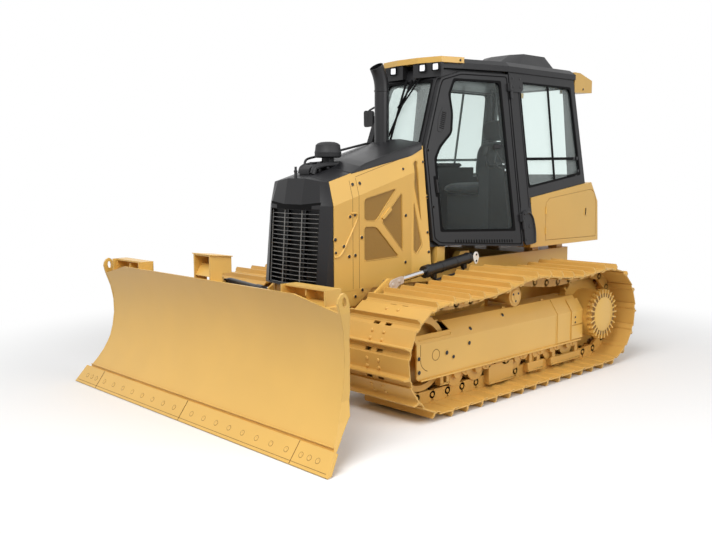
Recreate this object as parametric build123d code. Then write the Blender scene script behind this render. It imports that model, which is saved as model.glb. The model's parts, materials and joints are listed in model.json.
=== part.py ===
"""Small crawler bulldozer with a six-way blade: wide tracks, sloped hood, glazed cab.

Units are millimetres. While it is modelled, X = 0 lies on the sprocket axle, +X points to the blade,
+Y to the machine's left and +Z up from the ground. keep() then moves every piece so that the origin
is the middle of the whole machine, on the ground.
"""
from build123d import *
from math import asin, atan2, ceil, cos, degrees, hypot, pi, radians, sin, sqrt
import os

# ---------------------------------------------------------------- driving dimensions
# tracks
HULL_HALF_WIDTH = 420.0
SHOE_WIDTH = 635.0
TRACK_HULL_GAP = 147.5         # between the hull's side and the shoes' inner ends
TRACK_GAUGE = 2 * (HULL_HALF_WIDTH + TRACK_HULL_GAP) + SHOE_WIDTH
LINK_PITCH = 155.6
GROUSER_HEIGHT = 41.0
GROUSER_WIDTH = 17.0
SHOE_THICKNESS = 10.0
PIN_TO_SHOE = 50.0             # pin centre to the inner face of the shoe
PIN_TO_RAIL = 35.0             # pin centre to the rail that the rollers run on
RAIL_THICKNESS = 28.0
RAIL_SPACING = 172.0           # between the middles of a chain's two rails
BUSHING_RADIUS = 24.0
TEETH_PER_TURN = 26            # every second gap takes a bushing
IDLER_X = 2088.0
IDLER_PIN_RADIUS = 297.0       # idler centre to the pins round it
CARRIER_X = 1052.0
CARRIER_TOP_PIN_Z = 779.0
CHORD_DROP = 7.0               # how far the links' chord runs below the carrier's top pin
TOP_SAG = 37.0                 # how far the free upper runs hang
ROLLER_COUNT = 7
ROLLER_FIRST_X = 356.0
ROLLER_LAST_X = 1750.0
ROLLER_RADIUS = 84.0
CARRIER_RADIUS = 62.0
FLANGE_HEIGHT = 12.0
AXLE_RADIUS = 30.0

# track frame
FRAME_HALF_WIDTH = 155.0       # outer plate's face to the track's middle
FRAME_PLATE = 12.0
FRAME_BOTTOM_Z = 240.0
FRAME_BEND_Z = 478.0
FRAME_TOP_Z = 592.0
FRAME_TOP_HALF = 78.0
FRAME_REAR_X = 214.0
FRAME_FRONT_X = 2186.0
BEAM_REAR_X = 352.0
BEAM_FRONT_X = 1760.0
BEAM_BOTTOM_Z = 332.0

# final drive
DRIVE_CASE_RADIUS = 232.0
HUB_RADIUS = 206.0
HUB_FACE_Y = TRACK_GAUGE / 2 + 238.0
HUB_TEETH = 26

# hull
HULL_FRONT_HALF_WIDTH = 330.0
HULL_BOTTOM_Z = 345.0
HULL_TOP_Z = 900.0
HULL_FRONT_TOP_Z = 760.0
HULL_REAR_X = -560.0
HULL_STEP_X = 1290.0
HULL_FRONT_X = 2262.0
HULL_PLATE = 25.0
BELLY_RISE = 150.0
BELLY_SLOPE_LENGTH = 260.0

# hood and nose
HOOD_HALF_WIDTH = 345.0
HOOD_TOP_HALF_WIDTH = 296.0
HOOD_FRONT_X = 2272.0
HOOD_FRONT_TOP_Z = 1534.0
HOOD_BEVEL = 168.0             # height of the slanted band along the top of each side
HOOD_CREASE_X = 1480.0         # where the side flares out to the cab
HOOD_SLOPE = 0.2765            # rise per length of the hood's top
HOOD_BOTTOM_Z = 760.3          # just above the hull's front
HOOD_PLATE = 22.0
MESH_THICKNESS = 5.0
MESH_BOTTOM_Z = 930.0
CREST_HALF_WIDTH = 95.0
CREST_RISE = 36.0
NOSE_FRONT_X = 2398.0
NOSE_BOTTOM_Z = 792.0
# per height: half width, shoulder's X, grille end's X and Y, middle facet's X
NOSE_LEVELS = [(792.0, 340.0, 2346.0, 2374.0, 271.0, 2398.0), (1366.0, 340.0, 2287.0, 2333.0, 271.0, 2357.0),
               (1600.0, 280.0, 2276.0, 2288.0, 215.0, 2311.0)]
GRILLE_TOP_Z = 1368.0
GRILLE_HALF_WIDTH = 271.0
EXHAUST_X = 1422.0
EXHAUST_Y = -25.0
PRECLEANER_X = 2013.0
LOUVRE_COUNT = 17
LOUVRE_THICKNESS = 7.0
LOUVRE_DEPTH = 40.0

# cab
CAB_FLOOR_Z = 1000.0           # height where the cab's half width is measured
CAB_BASE_Z = 1022.0            # underside of the cab frame
CAB_FLOOR_PLATE = 26.0
CAB_TOP_Z = 2400.0
CAB_FRONT_X = 1322.0
CAB_KNEE_Z = 1762.0            # where the front of the cab starts to lean back
CAB_FRONT_LEAN = 0.3695
CAB_HALF_WIDTH = 640.0         # at the floor, at the door hinge
CAB_TUMBLEHOME = 0.1326        # how far each side leans in per height
CAB_DOOR_YAW = 0.2379          # how far the door plane narrows per length towards the front
CAB_HINGE_X = 440.0
CAB_REAR_X = -590.0
CAB_REAR_LEAN = 0.0374
CAB_WALL = 46.0
DOOR_THICKNESS = 32.0
DOOR_GAP = 5.0
GLASS_THICKNESS = 6.0
ROOF_THICKNESS = 82.0

# outlines in X and Z, in order round the edge
DOOR_OUTLINE = [(446, 985), (1262, 1035), (1318, 1072), (1318, 1762), (1135, 2258), (1100, 2322),
                (914, 2378), (446, 2378)]
DOOR_GLASS = [(520, 1118), (1238, 1140), (1232, 1700), (1175, 1795), (1062, 1900), (1036, 2050),
              (1046, 2200), (985, 2318), (530, 2318)]
DOOR_OPENING = [(500, 1056), (1240, 1082), (1262, 1104), (1262, 1748), (1082, 2235), (1055, 2268),
                (905, 2318), (500, 2318)]
SIDE_WINDOW = [(300, 1460), (-505, 1562), (-470, 2325), (300, 2325)]
HOOD_WINDOWS = [
    [(1977, 1407), (1645, 1477), (1857, 1249), (1974, 1254)],
    [(1587, 1446), (1577, 1007), (1801, 1240)],
    [(1979, 1209), (1857, 1203), (1620, 970), (1976, 961)],
    [(1458, 1370), (1395, 1045), (1440, 975), (1462, 1000)],
    [(1440, 1672), (1405, 1684), (1395, 1230), (1450, 1506)],
]
SERVICE_DOOR = [(70, 1010), (-728, 1000), (-728, 1290), (-695, 1395), (-640, 1426), (20, 1362), (70, 1325)]

# rear body
TANK_SIDE_Y = 600.0
TANK_BOTTOM_Z = 960.0
TANK_REAR_X = -775.0
TANK_FRONT_X = 290.0
TANK_FRONT_TOP_Z = 1375.0
TANK_REAR_TOP_Z = 1490.0
TANK_INNER_Y = 400.0
TANK_INNER_FRONT_X = -260.0
SERVICE_DOOR_THICKNESS = 12.0
SERVICE_DOOR_GAP = 6.0
SERVICE_HINGE_X = 72.0
SERVICE_HINGE_Y = TANK_SIDE_Y + 2.0
SERVICE_HINGE_RADIUS = 8.0
SERVICE_HINGE_GAP = 1.5
SERVICE_HINGE_SPANS = ((1060.0, 1120.0), (1230.0, 1290.0))

# blade and its frame
LIFT_PIVOT_X = 650.0
LIFT_PIVOT_Z = 430.0
ARM_HULL_GAP = 50.0
ARM_INNER_Y = HULL_HALF_WIDTH + ARM_HULL_GAP
ARM_WIDTH = 78.0
ARM_HEIGHT = 110.0
CROSS_REAR_X = 2530.0
CROSS_DEPTH = 150.0
KING_X = 2930.0
KING_BOTTOM_Z = 230.0
KING_TOP_Z = 600.0
KING_RADIUS = 30.0
TILT_Z = 415.0
BLADE_WIDTH = 2934.0
BLADE_EDGE_X = 3350.0
BLADE_CLEARANCE = 4.0          # cutting edge above the ground
EDGE_TOP_X = 3261.0
EDGE_TOP_Z = 123.0
MOLDBOARD_FOOT_X = 3241.0
MOLDBOARD_MID_X = 3082.0
MOLDBOARD_MID_Z = 530.0
MOLDBOARD_TOP_X = 3167.0
MOLDBOARD_TOP_Z = 918.0
MOLDBOARD_PLATE = 14.0
RIB_DEPTH = 46.0               # from the moldboard's deepest line back to the ribs' rear face
BLADE_BACK_X = MOLDBOARD_MID_X - RIB_DEPTH
BLADE_ZONE = (BLADE_EDGE_X - 450.0, BLADE_EDGE_X + 50.0, BLADE_WIDTH / 2 + 33.0)
# half outlines seen from the front, as Y and Z: the moldboard's and the cutting edge's
BLADE_SIDE = [(1446.0, 0.0), (1399.0, 123.0), (1354.0, 240.0), (1325.0, 345.0), (1314.0, 530.0), (1317.0, 680.0),
              (1336.0, 837.0), (976.0, 918.0)]
EDGE_SIDE = [(1467.0, 0.0), (1432.0, 123.0), (1426.0, 145.0)]
END_BIT_Y = 1142.0             # where the outer cutting bits start
EDGE_THICKNESS = 22.0
END_PLATE = 16.0
EAR_TOP_Z = 952.0
BRACKET_INNER_Y = 820.0
BRACKET_OUTER_Y = 1215.0
BRACKET_TOP_Z = 956.0
BRACKET_BACK_X = 3010.0
GUARD_HALF_WIDTH = 96.0
GUARD_TOP_Z = 1075.0
GUARD_REAR_TOP_Z = 1056.0
GUARD_LOW_Z = 945.0            # underside of its overhang
GUARD_REAR_X = 2962.0
GUARD_DEPTH = 168.0
# stiffening beams: back's X, lower and upper Z, half length
BLADE_BEAMS = [(3040.0, 790.0, 880.0, 1230.0), (3066.0, 150.0, 250.0, 1200.0)]
RIB_PLACES = (-1120, -700, -330, 330, 700, 1120)

# drawbar
DRAWBAR_X = -720.0
DRAWBAR_Z = 470.0
DRAWBAR_HOLE_RADIUS = 20.0

# cylinders
LIFT_BARREL_RADIUS = 42.0
LIFT_HULL_GAP = 34.0           # between the hull's side and a lift cylinder
LIFT_CYLINDER_Y = HULL_HALF_WIDTH + LIFT_HULL_GAP + LIFT_BARREL_RADIUS
LIFT_BARREL_X = 940.0
LIFT_BARREL_Z = 925.0
LIFT_EYE_X = 1905.0
LIFT_EYE_Z = 803.0
LIFT_ROD_RADIUS = 22.0
LIFT_BARREL_LENGTH = 560.0
ANGLE_BARREL_X = 2080.0
ANGLE_BARREL_Y = ARM_INNER_Y + 2.0
ANGLE_Z = 570.0
ANGLE_BARREL_RADIUS = 42.0
ANGLE_ROD_RADIUS = 22.0
ANGLE_BARREL_LENGTH = 560.0
WING_X = 2990.0
WING_Y = ARM_INNER_Y - 40.0
TILT_PIN_X = 2948.0
TILT_PIN_Y = 30.0
TILT_PIN_Z = 872.0
TILT_EYE_Y = 640.0
TILT_EYE_Z = 832.0
TILT_PIN_RADIUS = 44.0
TILT_BARREL_RADIUS = 37.0
TILT_ROD_RADIUS = 20.0
TILT_BARREL_LENGTH = 370.0
LIFT_TRAVEL = 135.0            # how far each rod must be able to slide either way
ANGLE_TRAVEL = 195.0
TILT_TRAVEL = 75.0
CYLINDER_PIN_RADIUS = 18.0
EYE_WIDTH = 44.0
EYE_SHARE = 0.82               # an eye's radius against its barrel's
EYE_GAP = 5.0                  # between a cylinder's eye and the lug beside it
BARREL_COLLAR = 5.0
LUG_THICKNESS = 22.0

PIN_GAP = 0.3                  # running clearance of pins and seats
REAR_LAMP_X = -850.0           # the rearmost point of the machine
ORIGIN_X = (BLADE_EDGE_X + REAR_LAMP_X) / 2

os.makedirs("parts", exist_ok=True)


# ---------------------------------------------------------------- small helpers
def plate_y(outline, y_low, y_high):
    """A closed outline of (x, z) points, made solid between two Y planes."""
    wire = Wire.make_polygon([(x, y_low, z) for x, z in outline], close=True)
    return extrude(Face(wire), amount=y_high - y_low, dir=(0, 1, 0))


def plate_x(outline, x_low, x_high):
    """A closed outline of (y, z) points, made solid between two X planes."""
    wire = Wire.make_polygon([(x_low, y, z) for y, z in outline], close=True)
    return extrude(Face(wire), amount=x_high - x_low, dir=(1, 0, 0))


def plate_z(outline, z_low, z_high):
    """A closed outline of (x, y) points, made solid between two Z planes."""
    wire = Wire.make_polygon([(x, y, z_low) for x, y in outline], close=True)
    return extrude(Face(wire), amount=z_high - z_low, dir=(0, 0, 1))


def block(x_low, x_high, y_low, y_high, z_low, z_high):
    """A box between its six planes."""
    size = (x_high - x_low, y_high - y_low, z_high - z_low)
    middle = ((x_low + x_high) / 2, (y_low + y_high) / 2, (z_low + z_high) / 2)
    return Pos(*middle) * Box(*size)


def rod_between(start, end, radius):
    """A round bar from one point to another."""
    start, end = Vector(*start), Vector(*end)
    way = end - start
    return extrude(Plane(origin=start, z_dir=way) * Circle(radius), amount=way.length)


def round_y(x, z, radius, y_low, y_high):
    """A cylinder along Y."""
    return rod_between((x, y_low, z), (x, y_high, z), radius)


def round_z(x, y, radius, z_low, z_high):
    """A cylinder along Z."""
    return rod_between((x, y, z_low), (x, y, z_high), radius)


def other_side(shape):
    """The same shape on the machine's right."""
    return mirror(shape, about=Plane.XZ)


def hull_of_sections(sections):
    """A solid through polygons that have the same number of corners, with flat sides."""
    faces = [Face(Wire.make_polygon(points, close=True)) for points in sections]
    return loft(faces, ruled=True)


def keep(name, *shapes):
    """Move the pieces of one node to the machine's own origin and write them."""
    placed = [Pos(-ORIGIN_X, 0, 0) * shape for shape in shapes]
    solids = [solid for shape in placed for solid in shape.solids()]
    export_step(solids[0] if len(solids) == 1 else Compound(children=solids), f"parts/{name}.step")


def keep_pair(name, *shapes):
    """Write one node for the left side and its mirror image for the right."""
    keep(f"{name}_left", *shapes)
    keep(f"{name}_right", *[other_side(shape) for shape in shapes])


# ---------------------------------------------------------------- tracks
TRACK_Y = TRACK_GAUGE / 2
GROUND_PIN_Z = GROUSER_HEIGHT + SHOE_THICKNESS + PIN_TO_SHOE
SPROCKET_PIN_RADIUS = LINK_PITCH / (2 * sin(2 * pi / TEETH_PER_TURN))
SPROCKET_Z = GROUND_PIN_Z + SPROCKET_PIN_RADIUS
IDLER_Z = GROUND_PIN_Z + IDLER_PIN_RADIUS
ROLLER_Z = GROUND_PIN_Z + PIN_TO_RAIL + ROLLER_RADIUS + PIN_GAP
RAIL_HALF = RAIL_SPACING / 2
TRACK_INNER_Y = TRACK_Y - SHOE_WIDTH / 2


def chain_path():
    """The pins' closed path as many short steps: sprocket, ground, idler and the two sagging runs."""
    path = []
    for step in range(61):
        angle = radians(90 + 180 * step / 60)
        path.append((SPROCKET_PIN_RADIUS * cos(angle), SPROCKET_Z + SPROCKET_PIN_RADIUS * sin(angle)))
    path.append((IDLER_X / 2, GROUND_PIN_Z))
    for step in range(61):
        angle = radians(-90 + 180 * step / 60)
        path.append((IDLER_X + IDLER_PIN_RADIUS * cos(angle), IDLER_Z + IDLER_PIN_RADIUS * sin(angle)))
    supports = [(IDLER_X, IDLER_Z + IDLER_PIN_RADIUS), (CARRIER_X, CARRIER_TOP_PIN_Z),
                (0.0, SPROCKET_Z + SPROCKET_PIN_RADIUS)]
    for (x_from, z_from), (x_to, z_to) in zip(supports, supports[1:]):
        for step in range(1, 41):
            share = step / 40
            sag = TOP_SAG * sin(pi * share) ** 2
            path.append((x_from + (x_to - x_from) * share, z_from + (z_to - z_from) * share - sag))
    return path


def chain_pins():
    """Pin centres at an equal pitch along the chain's path."""
    path = chain_path()
    lengths = [hypot(b[0] - a[0], b[1] - a[1]) for a, b in zip(path, path[1:])]
    total = sum(lengths)
    count = round(total / LINK_PITCH)
    pins, walked, index = [], 0.0, 0
    for number in range(count):
        target = total * number / count
        while walked + lengths[index] < target:
            walked += lengths[index]
            index += 1
        share = (target - walked) / lengths[index]
        (x_a, z_a), (x_b, z_b) = path[index], path[index + 1]
        pins.append((x_a + (x_b - x_a) * share, z_a + (z_b - z_a) * share))
    return pins


def along_chain(pins, corners):
    """Repeat corners, given as (share of a link, height outwards), round the whole chain."""
    outline = []
    for (x_a, z_a), (x_b, z_b) in zip(pins, pins[1:] + pins[:1]):
        length = hypot(x_b - x_a, z_b - z_a)
        ahead = ((x_b - x_a) / length, (z_b - z_a) / length)
        outward = (ahead[1], -ahead[0])
        for share, height in corners:
            outline.append((x_a + ahead[0] * length * share + outward[0] * height,
                            z_a + ahead[1] * length * share + outward[1] * height))
    return outline


def track_chain():
    """The closed chain: shoes with their grousers, two scalloped rails and the bushings."""
    pins = chain_pins()
    shoe_top = PIN_TO_SHOE + SHOE_THICKNESS
    tip = shoe_top + GROUSER_HEIGHT
    bar = GROUSER_WIDTH / LINK_PITCH
    shoe_outside = [(0.05, shoe_top), (0.72, shoe_top), (0.74, tip), (0.74 + bar, tip),
                    (0.76 + bar, shoe_top), (0.95, shoe_top)]
    shoe_inside = [(0.06, PIN_TO_SHOE), (0.94, PIN_TO_SHOE)]
    y_low, y_high = TRACK_Y - SHOE_WIDTH / 2, TRACK_Y + SHOE_WIDTH / 2
    chain = plate_y(along_chain(pins, shoe_outside), y_low, y_high)
    chain -= plate_y(along_chain(pins, shoe_inside), y_low - 1, y_high + 1)
    rail_outside = [(0.06, PIN_TO_SHOE + 2), (0.94, PIN_TO_SHOE + 2)]
    rail_inside = [(0.10, -0.5 * PIN_TO_RAIL), (0.22, -PIN_TO_RAIL), (0.78, -PIN_TO_RAIL),
                   (0.90, -0.5 * PIN_TO_RAIL)]
    carried = []
    for middle in (TRACK_Y - RAIL_HALF, TRACK_Y + RAIL_HALF):
        low, high = middle - RAIL_THICKNESS / 2, middle + RAIL_THICKNESS / 2
        rail = plate_y(along_chain(pins, rail_outside), low, high)
        carried.append(rail - plate_y(along_chain(pins, rail_inside), low - 1, high + 1))
    half = RAIL_HALF - RAIL_THICKNESS / 2 + 1
    for x, z in pins:
        corners = [(x + BUSHING_RADIUS * cos(pi * k / 3), z + BUSHING_RADIUS * sin(pi * k / 3))
                   for k in range(6)]
        carried.append(plate_y(corners, TRACK_Y - half, TRACK_Y + half))
    return chain.fuse(*[solid for shape in carried for solid in shape.solids()])


def sprocket():
    """The toothed disc: every second gap between teeth takes a bushing of the chain."""
    root = SPROCKET_PIN_RADIUS - BUSHING_RADIUS - 4
    tip = SPROCKET_PIN_RADIUS + 10
    tooth = 360.0 / TEETH_PER_TURN
    outline = []
    for number in range(TEETH_PER_TURN):
        middle = 90 + tooth * (number + 0.5)
        for radius, turn in ((root, -2.4), (tip, -1.1), (tip, 1.1), (root, 2.4)):
            angle = radians(middle + turn)
            outline.append((radius * cos(angle), SPROCKET_Z + radius * sin(angle)))
    return plate_y(outline, TRACK_Y - 26, TRACK_Y + 26)


def final_drive():
    """The drive's case from the hull to the sprocket, and the bolted hub outside it."""
    case = round_y(0, SPROCKET_Z, DRIVE_CASE_RADIUS, HULL_HALF_WIDTH + PIN_GAP, TRACK_Y - 26 - PIN_GAP)
    hub_start = TRACK_Y + 26 + PIN_GAP
    body = round_y(0, SPROCKET_Z, HUB_RADIUS - 14, hub_start, HUB_FACE_Y - 38)
    ring = []
    step = 360.0 / HUB_TEETH
    for number in range(HUB_TEETH):
        for radius, turn in ((HUB_RADIUS - 26, -3.4), (HUB_RADIUS, -2.6), (HUB_RADIUS, 2.6), (HUB_RADIUS - 26, 3.4)):
            angle = radians(step * number + turn)
            ring.append((radius * cos(angle), SPROCKET_Z + radius * sin(angle)))
    bolts = plate_y(ring, HUB_FACE_Y - 40, HUB_FACE_Y - 16)
    cap = round_y(0, SPROCKET_Z, HUB_RADIUS - 34, HUB_FACE_Y - 18, HUB_FACE_Y)
    cap = chamfer(cap.edges().filter_by(GeomType.CIRCLE).sort_by(Axis.Y)[-1], 8)
    return case, body + bolts + cap


def wheel(x, z, sections):
    """A wheel on a Y axle: sections are (half width from, half width to, radius), outwards."""
    parts = None
    for y_from, y_to, radius in sections:
        for side in (-1, 1):
            low, high = sorted((TRACK_Y + side * y_from, TRACK_Y + side * y_to))
            piece = round_y(x, z, radius, low, high)
            parts = piece if parts is None else parts + piece
    return parts


def roller_xs():
    """X of each bottom roller."""
    gap = (ROLLER_LAST_X - ROLLER_FIRST_X) / (ROLLER_COUNT - 1)
    return [ROLLER_FIRST_X + gap * number for number in range(ROLLER_COUNT)]


def rollers_and_idler():
    """All wheels that the chain runs on, apart from the sprocket."""
    inner = RAIL_HALF - RAIL_THICKNESS / 2 - 3
    outer = RAIL_HALF + RAIL_THICKNESS / 2 + 3
    seat = FRAME_HALF_WIDTH - FRAME_PLATE - PIN_GAP
    wheels = []
    for x in roller_xs():
        wheels.append(wheel(x, ROLLER_Z, [(0, inner - 12, ROLLER_RADIUS - 18),
                                          (inner - 14, inner, ROLLER_RADIUS + FLANGE_HEIGHT),
                                          (inner - 1, outer, ROLLER_RADIUS),
                                          (outer - 1, outer + 11, ROLLER_RADIUS + FLANGE_HEIGHT),
                                          (outer, seat, AXLE_RADIUS + 8)]))
    carrier_z = CARRIER_TOP_PIN_Z - CHORD_DROP - PIN_TO_RAIL - CARRIER_RADIUS - PIN_GAP
    carrier = wheel(CARRIER_X, carrier_z, [(0, outer, CARRIER_RADIUS)])
    wheels.append(carrier + round_y(CARRIER_X, carrier_z, CARRIER_RADIUS + FLANGE_HEIGHT, TRACK_Y + outer - 1,
                                    TRACK_Y + outer + 9))
    idler_tread = sqrt(IDLER_PIN_RADIUS ** 2 - (LINK_PITCH / 2) ** 2) - PIN_TO_RAIL - PIN_GAP
    rim = wheel(IDLER_X, IDLER_Z, [(0, outer, idler_tread)])
    rim += wheel(IDLER_X, IDLER_Z, [(0, inner - 4, idler_tread + 20)])
    dish = wheel(IDLER_X, IDLER_Z, [(30, outer + 1, idler_tread - 40)])
    idler = rim - dish
    idler += wheel(IDLER_X, IDLER_Z, [(0, 60, 92), (0, seat, AXLE_RADIUS + 10)])
    wheels.append(idler)
    return wheels


def track_frame():
    """The track's beam with its outer and inner guard plates, open over the rollers and the idler."""
    low, high = TRACK_Y - FRAME_HALF_WIDTH, TRACK_Y + FRAME_HALF_WIDTH
    side = [(FRAME_REAR_X, FRAME_BOTTOM_Z + 30), (FRAME_REAR_X, FRAME_TOP_Z), (FRAME_FRONT_X - 46, FRAME_TOP_Z),
            (FRAME_FRONT_X, FRAME_TOP_Z - 60), (FRAME_FRONT_X, FRAME_BOTTOM_Z + 16),
            (FRAME_FRONT_X - 16, FRAME_BOTTOM_Z), (FRAME_REAR_X + 30, FRAME_BOTTOM_Z)]
    section = [(low, FRAME_BOTTOM_Z - 1), (low, FRAME_BEND_Z), (TRACK_Y - FRAME_TOP_HALF, FRAME_TOP_Z),
               (TRACK_Y + FRAME_TOP_HALF, FRAME_TOP_Z), (high, FRAME_BEND_Z), (high, FRAME_BOTTOM_Z - 1)]
    inside = [(low + FRAME_PLATE, FRAME_BOTTOM_Z - 2), (low + FRAME_PLATE, FRAME_BEND_Z - 5),
              (TRACK_Y - FRAME_TOP_HALF + 5, FRAME_TOP_Z - FRAME_PLATE),
              (TRACK_Y + FRAME_TOP_HALF - 5, FRAME_TOP_Z - FRAME_PLATE),
              (high - FRAME_PLATE, FRAME_BEND_Z - 5), (high - FRAME_PLATE, FRAME_BOTTOM_Z - 2)]
    shell = plate_y(side, low - 1, high + 1) & plate_x(section, FRAME_REAR_X, FRAME_FRONT_X)
    shell -= plate_x(inside, FRAME_REAR_X - 1, FRAME_FRONT_X + 1)
    beam = block(BEAM_REAR_X, BEAM_FRONT_X, low + 2, high - 2, BEAM_BOTTOM_Z, FRAME_BEND_Z - 8)
    idler_room = round_y(IDLER_X, IDLER_Z, IDLER_PIN_RADIUS + 4, TRACK_Y - 118, TRACK_Y + 118)
    drive_seat = round_y(0, SPROCKET_Z, DRIVE_CASE_RADIUS + PIN_GAP, low - 1, TRACK_Y)
    frame = shell + beam - idler_room - drive_seat
    frame -= round_y(0, SPROCKET_Z, SPROCKET_PIN_RADIUS + 24, TRACK_Y - 34, TRACK_Y + 34)
    frame -= round_y(0, SPROCKET_Z, HUB_RADIUS + 8, TRACK_Y, high + 1)
    top = FRAME_TOP_Z - 1
    post_z = CARRIER_TOP_PIN_Z - PIN_TO_RAIL - CARRIER_RADIUS
    post = block(CARRIER_X - 30, CARRIER_X + 30, TRACK_Y - 148, TRACK_Y - 118, FRAME_BEND_Z - 40, post_z + 36)
    post += round_y(CARRIER_X, post_z - PIN_GAP, 22, TRACK_Y - 125, TRACK_Y - RAIL_HALF - RAIL_THICKNESS / 2 - 3 - PIN_GAP)
    neck = block(CARRIER_X - 30, CARRIER_X + 30, TRACK_Y - 148, TRACK_Y - 60, FRAME_BEND_Z - 40, top)
    return frame + (post + neck)


# ---------------------------------------------------------------- hull, engine and hood
def main_frame():
    """The hull: side plates, belly, rear case, cylinder lugs, blade trunnions and the drawbar."""
    low, step = HULL_BOTTOM_Z, HULL_STEP_X
    rear = block(HULL_REAR_X, step, -HULL_HALF_WIDTH, HULL_HALF_WIDTH, low, HULL_TOP_Z)
    rear -= block(160, step + 1, -HULL_HALF_WIDTH + HULL_PLATE, HULL_HALF_WIDTH - HULL_PLATE,
                  low + HULL_PLATE, HULL_TOP_Z + 1)
    front = block(step - 40, HULL_FRONT_X, -HULL_FRONT_HALF_WIDTH, HULL_FRONT_HALF_WIDTH, low, HULL_FRONT_TOP_Z)
    front -= block(step - 41, HULL_FRONT_X - HULL_PLATE, -HULL_FRONT_HALF_WIDTH + HULL_PLATE,
                   HULL_FRONT_HALF_WIDTH - HULL_PLATE, low + HULL_PLATE, HULL_FRONT_TOP_Z + 1)
    neck = block(step - 40, step, -HULL_HALF_WIDTH, HULL_HALF_WIDTH, low, HULL_FRONT_TOP_Z)
    neck -= block(step - 41, step + 1, -HULL_FRONT_HALF_WIDTH + HULL_PLATE, HULL_FRONT_HALF_WIDTH - HULL_PLATE,
                  low + HULL_PLATE, HULL_FRONT_TOP_Z + 1)
    hull = rear + front + neck
    # the belly rises towards the nose and the tail
    for x, way in ((HULL_FRONT_X, 1), (HULL_REAR_X, -1)):
        bend = x - way * BELLY_SLOPE_LENGTH
        corner = [(x + way, low - 1), (bend, low - 1), (bend, low), (x + way, low + BELLY_RISE)]
        hull -= plate_y(corner, -HULL_HALF_WIDTH - 1, HULL_HALF_WIDTH + 1)
    slope = [(HULL_FRONT_X, low + BELLY_RISE), (HULL_FRONT_X - BELLY_SLOPE_LENGTH, low),
             (HULL_FRONT_X - BELLY_SLOPE_LENGTH, low + HULL_PLATE), (HULL_FRONT_X, low + BELLY_RISE + HULL_PLATE)]
    hull += plate_y(slope, -HULL_FRONT_HALF_WIDTH, HULL_FRONT_HALF_WIDTH)
    frame_inner = TRACK_Y - FRAME_HALF_WIDTH - PIN_GAP
    for side in (-1, 1):
        for start, end, x, z, radius in (
                (HULL_HALF_WIDTH - 5, ARM_INNER_Y - 6, LIFT_PIVOT_X, LIFT_PIVOT_Z, 95),
                (HULL_HALF_WIDTH - 5, frame_inner, LIFT_PIVOT_X, LIFT_PIVOT_Z, 48),
                (HULL_HALF_WIDTH - 5, frame_inner, 330, SPROCKET_Z, 80),
                (HULL_HALF_WIDTH - 5, LIFT_CYLINDER_Y - EYE_WIDTH / 2 - 2, LIFT_BARREL_X, LIFT_BARREL_Z, 24),
                (HULL_HALF_WIDTH - 5, LIFT_CYLINDER_Y + EYE_WIDTH / 2 + 8, LIFT_BARREL_X, LIFT_BARREL_Z,
                 CYLINDER_PIN_RADIUS)):
            near, far = sorted((side * start, side * end))
            hull += round_y(x, z, radius, near, far)
        near, far = sorted((side * (HULL_HALF_WIDTH - 60), side * HULL_HALF_WIDTH))
        hull += plate_y([(LIFT_BARREL_X - 90, HULL_TOP_Z - 20), (LIFT_BARREL_X + 110, HULL_TOP_Z - 20),
                         (LIFT_BARREL_X + 45, LIFT_BARREL_Z + 42), (LIFT_BARREL_X - 60, LIFT_BARREL_Z + 42)],
                        near, far)
    for x, y_far, top in ((-120, TANK_INNER_Y - PIN_GAP, CAB_BASE_Z), (1180, HULL_HALF_WIDTH, CAB_BASE_Z),
                          (-500, TANK_INNER_Y, TANK_BOTTOM_Z)):
        for side in (-1, 1):
            near, far = sorted((side * (y_far - 90), side * y_far))
            hull += block(x, x + 90, near, far, HULL_TOP_Z - 10, top - PIN_GAP)
    # rear drawbar: two ears with an upright pin hole
    for z_low, z_high in ((DRAWBAR_Z - 75, DRAWBAR_Z - 35), (DRAWBAR_Z + 35, DRAWBAR_Z + 75)):
        ear = plate_z([(HULL_REAR_X + 160, -170), (HULL_REAR_X + 160, 170), (DRAWBAR_X + 20, 75),
                       (DRAWBAR_X - 45, 75), (DRAWBAR_X - 75, 40), (DRAWBAR_X - 75, -40),
                       (DRAWBAR_X - 45, -75), (DRAWBAR_X + 20, -75)], z_low, z_high)
        hull += ear - round_z(DRAWBAR_X, 0, DRAWBAR_HOLE_RADIUS, z_low - 1, z_high + 1)
    return hull


def engine():
    """Engine, pumps and cooler as plain masses at their real places inside the hood."""
    floor = HULL_BOTTOM_Z + HULL_PLATE + PIN_GAP
    motor = block(1330, 1960, -235, 235, floor, 1210)
    cooler_front = 2180
    seat = HULL_BOTTOM_Z + HULL_PLATE + BELLY_RISE * (1 - (HULL_FRONT_X - cooler_front) / BELLY_SLOPE_LENGTH)
    cooler = block(cooler_front - 60, cooler_front, -285, 285, seat + PIN_GAP, 1340)
    return motor, cooler


def hood_top_z(x):
    """Height of the hood's side edge at x."""
    return HOOD_FRONT_TOP_Z + (HOOD_FRONT_X - x) * HOOD_SLOPE


def hood_side_sections(inset):
    """Cross-sections of the hood's left half outline, inset from its skin."""
    rear_x = CAB_FRONT_X + 10
    sections = []
    for x, y_low, y_top in ((HOOD_FRONT_X, HOOD_HALF_WIDTH, HOOD_TOP_HALF_WIDTH),
                            (HOOD_CREASE_X, HOOD_HALF_WIDTH, HOOD_TOP_HALF_WIDTH),
                            (rear_x, door_plane_y(rear_x, HOOD_BOTTOM_Z + 240), door_plane_y(rear_x, hood_top_z(rear_x)))):
        top = hood_top_z(x)
        bend = top - HOOD_BEVEL
        share = (bend - HOOD_BOTTOM_Z) / (top - HOOD_BOTTOM_Z)
        y_bend = y_low if x > rear_x else y_low + (y_top - y_low) * share
        sections.append((x, [(y_low - inset, HOOD_BOTTOM_Z), (y_bend - inset, bend), (y_top - inset, top)]))
    return sections


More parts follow.
